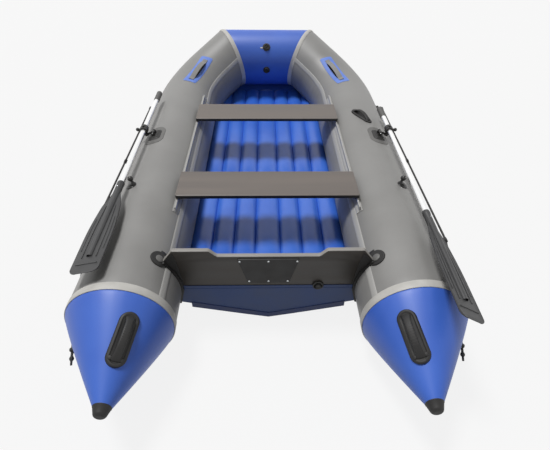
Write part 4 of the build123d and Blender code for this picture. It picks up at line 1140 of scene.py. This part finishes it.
def grab_handle():
    """Slim handle on the starboard tube only, turned a little across it."""
    here = side_seat(*GRAB_HANDLE_PLACE)
    place = draped(here, off_side, GRAB_HANDLE_TURN)
    return moulded_grip(place, here[3], (0.192, 0.054), 0.009, (0.022, 0.010), 0.070, 0.028, 0.35)


make_pair("cone_grip", [(cone_handle(), BLACK_RUBBER)], "black_rubber", "cone_handle")
make("starboard_grab_grip", [(grab_handle(), BLACK_RUBBER)], "black_rubber", ["starboard_grab_handle"])


# ---- bow fittings
# Angles round the bow tube, from its aft side up and over.
UPPER_VALVE_ANGLE, LOWER_VALVE_ANGLE = 40.0, -7.0
GLINT_X, GLINT_ANGLE = -0.036, 38.5
TOW_ANGLE = 215.0


def air_valve(angle, radius):
    """Air valve: a welded flange, a threaded ring, and a cap with a bar to turn it by."""
    here = bow_seat(0, angle)
    place = draped(here, off_bow)
    origin, along, across, out = here
    flange = raised(
        place, disc(radius), [(0, -0.002), (0, 0.0022), (0.001, 0.0036), (0.004, 0.0042), (radius, 0.0042)]
    )
    cap_radius = 0.72 * radius
    ring = turned(origin, out, [
        (0.001, cap_radius), (0.0095, cap_radius), (0.0115, cap_radius - 0.0012), (0.012, cap_radius - 0.003),
        (0.0105, cap_radius - 0.005), (0.0065, cap_radius - 0.006), (0.006, 0),
    ], 48, 16, 0.0012)
    slanted = (origin + out * 0.006, (along + across).normalized(), (across - along).normalized(), out)
    bar = raised(
        flat(slanted), plate(1.7 * cap_radius - 0.008, 0.006, 0.002),
        mm((0, 0), (0, 4.2), (1, 5.5), (3, 5.8)),
    )
    return joined(flange, ring, bar)


def valve_glint_tab():
    """Pale tab lying on the tube to port of the upper valve: a painted highlight."""
    place = draped(bow_seat(GLINT_X, GLINT_ANGLE), off_bow)
    return raised(place, plate(0.022, 0.010, 0.004), pad_steps(0.006, 0.0028, 0.001, 0.001))


make("upper_air_valve", [(air_valve(UPPER_VALVE_ANGLE, 0.030), BLACK_RUBBER)], "black_rubber", ["bow_valve"])
# This pale tab is a painted highlight beside the valve, not a part of it.
make("valve_painted_highlight", [(valve_glint_tab(), PALE_HIGHLIGHT_PLASTIC)], "black_rubber")
make(
    "lower_air_valve", [(air_valve(LOWER_VALVE_ANGLE, 0.026), BLACK_RUBBER)], "black_rubber",
    ["lower_bow_valve"]
)


def tow_patch():
    """Round patch with a moulded eye, under the front of the bow."""
    here = bow_seat(0, TOW_ANGLE)
    origin, along, across, out = here
    pad = raised(
        draped(here, off_bow), disc(0.055),
        mm((0, -1), (0, 2), (2, 4), (12, 4.2), (18, 5.5), (24, 5.8), (55, 5.8))
    )
    eye_path = []
    for turn in spread(0, pi, 24):
        eye_path.append(origin + across * (0.0115 * cos(turn)) + out * (0.012 + 0.0025 * sin(turn) * 2))
    eye_path = [origin + across * 0.0115] + eye_path + [origin - across * 0.0115]
    eye = swept(eye_path, along, oval(0.007, 0.018, 3.0, 20))
    return joined(pad, eye)


make("tow_patch", [(tow_patch(), BLACK_RUBBER)], "black_rubber", ["tow_ring_patch"])

# ---- rowlocks
OARLOCK_STATION, OARLOCK_ANGLE = 0.960, 106.0
OARLOCK = side_seat(OARLOCK_STATION, OARLOCK_ANGLE)
LOCK_OUT = OARLOCK[3]
HINGE = OARLOCK[0] + LOCK_OUT * 0.024
SHAFT = OARLOCK[0] + Vector((0.05467, 0, 0.03706))  # middle of the oar's shaft in its collar
COLLAR_RADIUS = 0.022
OAR_TOE = radians(0.65)
BOSS_HALF = 0.007
BOSS_BELOW = COLLAR_RADIUS + 0.002 + BOSS_HALF


def rounded_cylinder(centre, axis, start, end, radius, edge, sides=32):
    profile = [
        (start, 0), (start, radius - edge), (start + 0.3 * edge, radius - 0.3 * edge), (start + edge, radius),
        (end - edge, radius), (end - 0.3 * edge, radius - 0.3 * edge), (end, radius - edge), (end, 0),
    ]
    return turned(centre, axis, profile, sides)


def sphere(centre, axis, radius, sides=32):
    profile = [(-radius * cos(turn), radius * sin(turn)) for turn in spread(0, pi, 16)]
    return turned(centre, axis, profile, sides)


def oarlock_base():
    """Patch welded to the tube, and on it the moulded block, two ears and the hinge pin."""
    place = draped(OARLOCK, off_side)
    patch = raised(
        place, plate(0.190, 0.110, 0.054, arc=9, side=12),
        mm((0, -1), (0, 1), (1, 2), (6, 2.2), (30, 2.2), (55, 2.2)),
    )
    collar = raised(
        place, plate(0.108, 0.070, 0.022),
        mm((0, 0), (0, 3), (2, 4.5), (8, 5.5), (12, 8.5), (32, 9)),
    )
    block = raised(
        place, plate(0.085, 0.044, 0.008),
        mm((0, 1), (0.5, 8.5), (1.5, 9.8), (3.5, 10.4), (20, 10.4)),
    )
    ears = []
    for side in (-1, 1):
        ear = rounded_cylinder(HINGE, AHEAD * side, 0.013, 0.021, 0.0078, 0.0012)
        foot_middle = HINGE + AHEAD * (0.017 * side) - LOCK_OUT * 0.020
        foot = raised(
            flat((foot_middle, AHEAD, LOCK_OUT.cross(AHEAD), LOCK_OUT)), plate(0.008, 0.0214, 0.002, side=2),
            mm((0, 0), (0, 6), (0.4, 12), (0.8, 18)),
        )
        ears += [ear, foot]
    pin = rounded_cylinder(HINGE, AHEAD, -0.0225, 0.0225, 0.004, 0.001, 24)
    return patch, joined(collar, block, *ears), pin


lock_patch, lock_block, lock_pin = oarlock_base()
make_pair(
    "oarlock_block", [(lock_block, BLACK_RUBBER), (lock_patch, PATCH_GREY), (lock_pin, STEEL)],
    "black_rubber", "oarlock_base"
)


def yoke():
    """Barrel on the pin, an arm with a rib down it, and the boss that takes the oar's spigot."""
    boss_centre = SHAFT - LOCK_OUT * BOSS_BELOW
    barrel = rounded_cylinder(HINGE, AHEAD, -0.0115, 0.0115, 0.0075, 0.001)
    path = [HINGE.lerp(boss_centre, t) for t in spread(0, 1, 12)]
    arm = swept(path, LOCK_OUT, lambda share: oval(0.016 + 0.004 * abs(2 * share - 1) ** 2, 0.009, 4.0))
    crest = [point + LOCK_OUT * 0.0042 for point in path[1:-1]]
    rib = swept(crest, LOCK_OUT, oval(0.004, 0.003, 3.0, 12))
    boss = rounded_cylinder(boss_centre, LOCK_OUT, -BOSS_HALF, BOSS_HALF, 0.011, 0.0012)
    return joined(barrel, arm, rib, boss)


def collar():
    """Split ring round the oar with a clamp screw, a spigot below and a ball knob outboard."""
    axis = Quaternion(UP, -OAR_TOE) @ AHEAD
    profile = mm(
        (-22, 14.1), (-22, 20.5), (-21.2, 21.8), (-19, 22), (-7, 22), (-6, 23.5), (6, 23.5), (7, 22),
        (19, 22), (21.2, 21.8), (22, 20.5), (22, 14.1)
    )
    ring = turned(SHAFT, axis, profile, 40)
    spigot = rounded_cylinder(
        SHAFT, -LOCK_OUT, COLLAR_RADIUS - 0.002, COLLAR_RADIUS + 0.016, 0.006, 0.001, 24
    )
    neck = turned(SHAFT, OUTBOARD, mm((20, 8), (24, 6.6), (28, 6), (36, 6)), 24)
    ball = sphere(SHAFT + OUTBOARD * 0.036, OUTBOARD, 0.010)
    lug_place = flat((SHAFT + UP * 0.0195, AHEAD, OUTBOARD, UP))
    lug = raised(lug_place, plate(0.020, 0.012, 0.003), mm((0, 0), (0, 6), (1.2, 7.5), (6, 7.8)))
    return joined(ring, spigot, neck, ball, lug)


# ---- oars
GRIP_LENGTH = 0.120
SOCKET_START = 1.025
BLADE_ROOT = SOCKET_START + 0.055
OAR_LENGTH = 1.600
RIB_END = 1.500
SHAFT_RADIUS = 0.014
NECK_HALF, WIDEST_HALF, TIP_HALF = 0.046, 0.059, 0.058
BLADE_CORNER = 0.026
SOCKET_RADIUS = 0.016


def blade_half_width(y):
    """Half width of the blade at a distance from the grip's end."""
    neck, widest = SOCKET_START + 0.190, SOCKET_START + 0.380
    if y < neck:
        t = (y - BLADE_ROOT) / (neck - BLADE_ROOT)
        return SHAFT_RADIUS + (NECK_HALF - SHAFT_RADIUS) * (0.35 * t + 0.65 * t * t * (3 - 2 * t))
    if y < widest:
        t = (y - neck) / (widest - neck)
        return NECK_HALF + (WIDEST_HALF - NECK_HALF) * sin(t * pi / 2)
    narrowed = (WIDEST_HALF - TIP_HALF) * (y - widest) / (OAR_LENGTH - widest)
    into = max(y - (OAR_LENGTH - BLADE_CORNER), 0) / BLADE_CORNER
    return WIDEST_HALF - narrowed - BLADE_CORNER * (1 - sqrt(max(1 - into**2, 0)))


def blade_rib(across, start, end, count, width, thick, face):
    """Raised rib along one face of the blade, at a share of its half width."""
    line = []
    for y in spread(start, end, count):
        line.append(Vector((across * blade_half_width(y), -y, face * 0.0022)))
    return swept(line, UP * face, oval(width, thick, 2.4, 12))


def blade():
    """Moulded blade: thin plate with a rolled edge, a round spine, long side ribs and a cross rib."""
    last = 0.030
    rows = spread(BLADE_ROOT, OAR_LENGTH - last, 60)
    rows += [OAR_LENGTH - last + last * sin(pi / 2 * i / 10) for i in range(1, 11)]
    rings = []
    for y in rows:
        half = blade_half_width(y)
        thick = 0.0035 * min(1.0, 0.45 + (OAR_LENGTH - y) / 0.02)
        profile = [(1, 0), (0.985, 0.75), (0.955, 1.0), (0.93, 0.85), (0.90, 0.62), (0.5, 0.62), (0.2, 0.68)]
        over = [(share * half, rise * thick) for share, rise in profile]
        over += [(-x, z) for x, z in reversed(over)]
        under = [(x, -z) for x, z in reversed(over)][1:-1]
        rings.append([Vector((x, -y, z)) for x, z in over + under])
    shapes = [solid(rings)]
    spine = [(SOCKET_START - 0.002, 0.0148), (SOCKET_START, 0.0165), (SOCKET_START + 0.006, 0.0172),
             (SOCKET_START + 0.018, 0.0172), (SOCKET_START + 0.022, SOCKET_RADIUS)]
    spine += [(SOCKET_START + 0.10 + 0.39 * i / 10, SOCKET_RADIUS - 0.0045 * i / 10) for i in range(11)]
    spine += [(RIB_END + 0.0115 * sin(t), 0.0115 * cos(t)) for t in (0.4, 0.8, 1.2, pi / 2)]
    shapes.append(turned(Vector(), AFT, spine, 32))
    for face in (-1, 1):
        for side in (-1, 1):
            for share, start, end, count, width, thick in (
                (0.50, SOCKET_START + 0.175, RIB_END + 0.020, 30, 0.0045, 0.0062),
                (0.76, SOCKET_START + 0.260, RIB_END - 0.020, 24, 0.0035, 0.0040),
            ):
                shapes.append(blade_rib(share * side, start, end, count, width, thick, face))
        cross = [Vector((0.042 * (i / 10 - 1), -(OAR_LENGTH - 0.045), face * 0.0022)) for i in range(21)]
        shapes.append(swept(cross, UP * face, oval(0.0060, 0.0060, 2.4, 12)))
    return joined(*shapes)


def grip():
    """Foamed rubber grip with a rolled end and shallow rings."""
    profile = mm((0, 0), (0, 12.5), (1.2, 15.5), (4, 17.2), (10, 17.2), (14, 16))
    for ring in range(9):
        start = 0.018 + 0.0105 * ring
        profile += [
            (start, 0.0158), (start + 0.002, 0.0170), (start + 0.0075, 0.0170), (start + 0.0095, 0.0158)
        ]
    profile += [(GRIP_LENGTH - 0.006, 0.0160), (GRIP_LENGTH - 0.002, 0.0158), (GRIP_LENGTH, 0.0141)]
    return turned(Vector(), AFT, profile, 36)


def shaft():
    """Aluminium tube between the grip and the blade's socket."""
    profile = [(GRIP_LENGTH - 0.004, SHAFT_RADIUS)]
    profile += [(along, SHAFT_RADIUS) for along in spread(GRIP_LENGTH, SOCKET_START, 6)[1:-1]]
    profile += [(SOCKET_START + 0.004, SHAFT_RADIUS)]
    return turned(Vector(), AFT, profile, 40)


def spring_buttons():
    """Sprung steel button that locks the blade's socket on the shaft, seen on both faces."""
    middle = Vector((0, -(SOCKET_START + 0.045), 0))
    profile = mm((14, 4), (17.2, 3.8), (18.2, 2.6), (18.6, 0))
    return joined(*[turned(middle, UP * face, profile, 20) for face in (-1, 1)])


def oar(side, reach, roll):
    """One oar, laid through its collar: reach slides it forward and roll turns the blade."""
    place = Matrix.Translation(SHAFT) @ Matrix.Rotation(-OAR_TOE, 4, "Z")
    place = place @ Matrix.Rotation(radians(roll), 4, "Y") @ Matrix.Translation((0, reach, 0))
    for node, name, shape, material, slot in (
        ("blade", "paddle", blade(), BLADE_PLASTIC, "blade_plastic"),
        ("grip", "hand_grip", grip(), GRIP_RUBBER, "grip_rubber"),
        ("shaft", "loom", shaft(), ALUMINIUM, "aluminium_tube"),
        (None, "spring_buttons", spring_buttons(), STEEL, "stainless_steel"),
    ):
        placed = handed(side, ([place @ point for point in shape[0]], shape[1]))
        stands_for = [f"{side}_oar_{node}"] if node else ()
        make(f"{side}_{name}", [(placed, material)], slot, stands_for, f"{side}_oar")


oar("starboard", 0.271, 30.0)
oar("port", 0.498, 12.0)
for side in SIDES:
    for shape, name, body, node in (
        (yoke(), "yoke_arm", "rowlock", "rowlock_yoke"), (collar(), "collar_ring", "oar", "oar_collar")
    ):
        parts = [(handed(side, shape), BLACK_NYLON)]
        make(f"{side}_{name}", parts, "black_nylon", [f"{side}_{node}"], f"{side}_{body}")

CLIP_STATION, CLIP_ANGLE = 0.475, 112.0
CLIP_KNOB = 0.012


def oar_clip():
    """Post and knob that the stowed oar rests against, on a round foot."""
    toe_shift = (OARLOCK_STATION - CLIP_STATION) * sin(OAR_TOE)
    x = SHAFT.x - toe_shift - SHAFT_RADIUS - CLIP_KNOB - 0.0058
    centre = Vector((x, TRANSOM_AFT + CLIP_STATION, SHAFT.z - 0.005))
    foot = raised(
        draped(side_seat(CLIP_STATION, CLIP_ANGLE), off_side), disc(0.026),
        mm((0, -1), (0, 2), (2, 4), (8, 5), (14, 9), (26, 9)),
    )
    inward = (Vector((AXIS_X, centre.y, AXIS_Z)) - centre).normalized()
    post = turned(centre, inward, mm((0, 6), (14, 6), (22, 7.5), (30, 11)), 24)
    return joined(foot, post, sphere(centre - inward * 0.001, -inward, CLIP_KNOB + 0.0015))


make("oar_rests", [(both(oar_clip()), BLACK_NYLON)], "black_nylon", ["oar_clips"])

# ---- lifeline
LINE_STANDOFF = 0.030
LINE_TAIL = 0.026
LAY_STEP = 0.006
LINE_SEATS = ((-0.060, 192.0), (0.145, 147.0), (1.487, 150.0))  # station and angle of a fitting
PAST_BEND = ((-0.012, 175.0), (0.168, 190.0), (0.358, 190.0), (0.548, 185.0))
LINE_CORNERS = [(cone_seat(0.12, 204.0), off_cone)]
LINE_CORNERS += [(side_seat(station, angle), off_side) for station, angle in LINE_SEATS]
LINE_CORNERS += [(side_seat(BEND_START + past, angle), off_side) for past, angle in PAST_BEND]
LINE_MIDDLE = (side_seat(0.808, 148.5), off_side)


def line_path():
    """Taut runs between the fittings where the lifeline turns, eased over each one."""
    corners = [seat_here[0] + seat_here[3] * LINE_STANDOFF for seat_here, _ in LINE_CORNERS]
    for end, inner in ((0, 1), (-1, -2)):
        corners[end] = corners[end] + (corners[end] - corners[inner]).normalized() * LINE_TAIL
    path = [corners[0]]
    for before, here, after in zip(corners, corners[1:], corners[2:]):
        half_turn = (here - before).angle(after - here) / 2
        ease = min(0.45 * min((before - here).length, (after - here).length), 0.004 / tan(half_turn / 2))
        start = here + (before - here).normalized() * ease
        end = here + (after - here).normalized() * ease
        path += [(start.lerp(here, t)).lerp(here.lerp(end, t), t) for t in spread(0, 1, 10)]
    path.append(corners[-1])
    return path


def evenly(path, step):
    """Points at even spacing along a path."""
    points = [path[0]]
    left = step
    for a, b in zip(path, path[1:]):
        length = (b - a).length
        while left <= length:
            points.append(a.lerp(b, left / length))
            left += step
        left -= length
    return points


def rope(path, radius, lay=0.036):
    """Laid rope: three strands that turn once in each length of lay."""
    points = evenly(path, LAY_STEP)
    rings = []
    for i, point in enumerate(points):
        tangent = (points[min(i + 1, len(points) - 1)] - points[max(i - 1, 0)]).normalized()
        side = tangent.cross(UP).normalized()
        top = side.cross(tangent)
        twist = 2 * pi * i * LAY_STEP / lay
        ring = []
        for turn in once_round(15):
            reach = radius * (0.88 + 0.12 * abs(cos(1.5 * (turn - twist))) ** 0.7)
            ring.append(point + (side * cos(turn) + top * sin(turn)) * reach)
        rings.append(ring)
    return solid(rings)


def knot(centre, direction):
    """Stopper knot and short tail at the rope's end."""
    swell = mm((-4, 4), (0, 7.5), (6, 9.5), (12, 8.5), (16, 5.2), (20, 4.6), (34, 4.4), (34.5, 0))
    return turned(centre, direction, swell, 20, 3, 0.001)


def line_fitting(seat_here, height_above):
    """Moulded loop that holds the rope: a round welded foot and a block with softened edges."""
    place = draped(seat_here, height_above)
    foot = raised(place, disc(0.026), mm((0, -1), (0, 1.5), (1, 2.8), (6, 3.4), (26, 3.4)))
    block = raised(
        place, plate(0.018, 0.024, 0.005, side=3),
        mm((-2, 2), (0, 10), (2, 16), (1, 24), (0, 30), (1, 34.5), (3, 36.5), (9, 37)),
    )
    return joined(foot, block)


path = line_path()
line = rope(path, 0.005)
stopper = knot(path[0], (path[0] - path[1]).normalized())
make_pair("safety_rope", [(joined(line, stopper), ROPE_BLACK)], "black_rope", "lifeline")
fittings = [line_fitting(*corner) for corner in LINE_CORNERS + [LINE_MIDDLE]]
make("rope_fittings", [(both(joined(*fittings)), BLACK_RUBBER)], "black_rubber", ["lifeline_fittings"])

# ---- CAD nodes that show as they are
for node_name, material in (
    ("fore_seat_tracks", TRACK_NYLON), ("aft_seat_tracks", TRACK_NYLON), ("tow_ring", STEEL),
):
    node_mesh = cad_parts[node_name].data
    node_mesh.materials.clear()
    node_mesh.materials.append(material)


# ---- studio floor, light and camera
SHADOW_SHARE = 0.14
SOFT_LIGHT = 0.29
LAMP_WAY = Vector((-0.28, 0.22, 1.0))
CAMERA_PLACE = (-0.0094, -2.2103, 1.5871)


def seen_directly(tree):
    """1 where the eye, a reflection or clear plastic looks at the studio, 0 where it gives light."""
    sight = add(tree, "LightPath")
    seen = sight.outputs["Is Camera Ray"]
    for ray in ("Is Glossy Ray", "Is Transmission Ray"):
        seen = add(tree, "Math", {"operation": "MAXIMUM"}, {0: seen, 1: sight.outputs[ray]})
    return seen


def studio_floor():
    """Pale floor that goes white to the eye and keeps a soft shadow of the boat."""
    mesh = bpy.data.meshes.new("studio_floor")
    half = 40.0
    corners = [(-half, -half, 0), (half, -half, 0), (half, half, 0), (-half, half, 0)]
    mesh.from_pydata(corners, [], [(0, 1, 2, 3)])
    floor = in_scene("studio_floor", mesh)
    paper = {"Roughness": 0.9, "Base Color": linear("#b4b4b4")}
    material, tree, shader = new_material("white_studio_paper", paper)
    seen = seen_directly(tree)
    share = add(tree, "Math", {"operation": "MULTIPLY", 1: 1 - SHADOW_SHARE}, {0: seen})
    white = add(tree, "Emission", {"Color": (1, 1, 1, 1), "Strength": 1.0})
    mix = add(tree, "MixShader", {}, {0: share, 1: shader, 2: white})
    tree.links.new(mix.outputs[0], tree.nodes["Material Output"].inputs["Surface"])
    mesh.materials.append(material)


def studio_light():
    """Soft white surroundings, and a broad lamp almost overhead that shades under the seats."""
    world = bpy.data.worlds.new("white_studio")
    bpy.context.scene.world = world
    world.use_nodes = True
    tree = world.node_tree
    seen = seen_directly(tree)
    soft = add(tree, "Background", {"Color": (1, 1, 1, 1), "Strength": SOFT_LIGHT})
    white = add(tree, "Background", {"Color": (1, 1, 1, 1), "Strength": 1.0})
    mix = add(tree, "MixShader", {}, {0: seen, 1: soft, 2: white})
    tree.links.new(mix.outputs[0], tree.nodes["World Output"].inputs["Surface"])
    lamp = bpy.data.lights.new("overhead_lamp", "SUN")
    lamp.energy = 2.5
    lamp.angle = radians(16)
    lamp_object = in_scene("overhead_lamp", lamp)
    lamp_object.rotation_euler = LAMP_WAY.to_track_quat("Z", "Y").to_euler()


def studio_camera():
    """Camera astern of the boat and above it, looking forward and down."""
    yaw, pitch, roll = radians(1.578), radians(40.12), radians(0.765)
    forward = Vector((sin(yaw) * cos(pitch), cos(yaw) * cos(pitch), -sin(pitch)))
    level = forward.cross(UP).normalized()
    above = level.cross(forward)
    right = level * cos(roll) + above * sin(roll)
    top = above * cos(roll) - level * sin(roll)
    lens = bpy.data.cameras.new("camera")
    lens.lens = 27.97
    lens.sensor_width = 36.0
    camera = in_scene("camera", lens)
    facing = Matrix((right, top, -forward)).transposed().to_4x4()
    camera.matrix_world = Matrix.Translation(CAMERA_PLACE) @ facing
    bpy.context.scene.camera = camera


studio_floor()
studio_light()
studio_camera()
bpy.context.scene.view_settings.view_transform = "Standard"
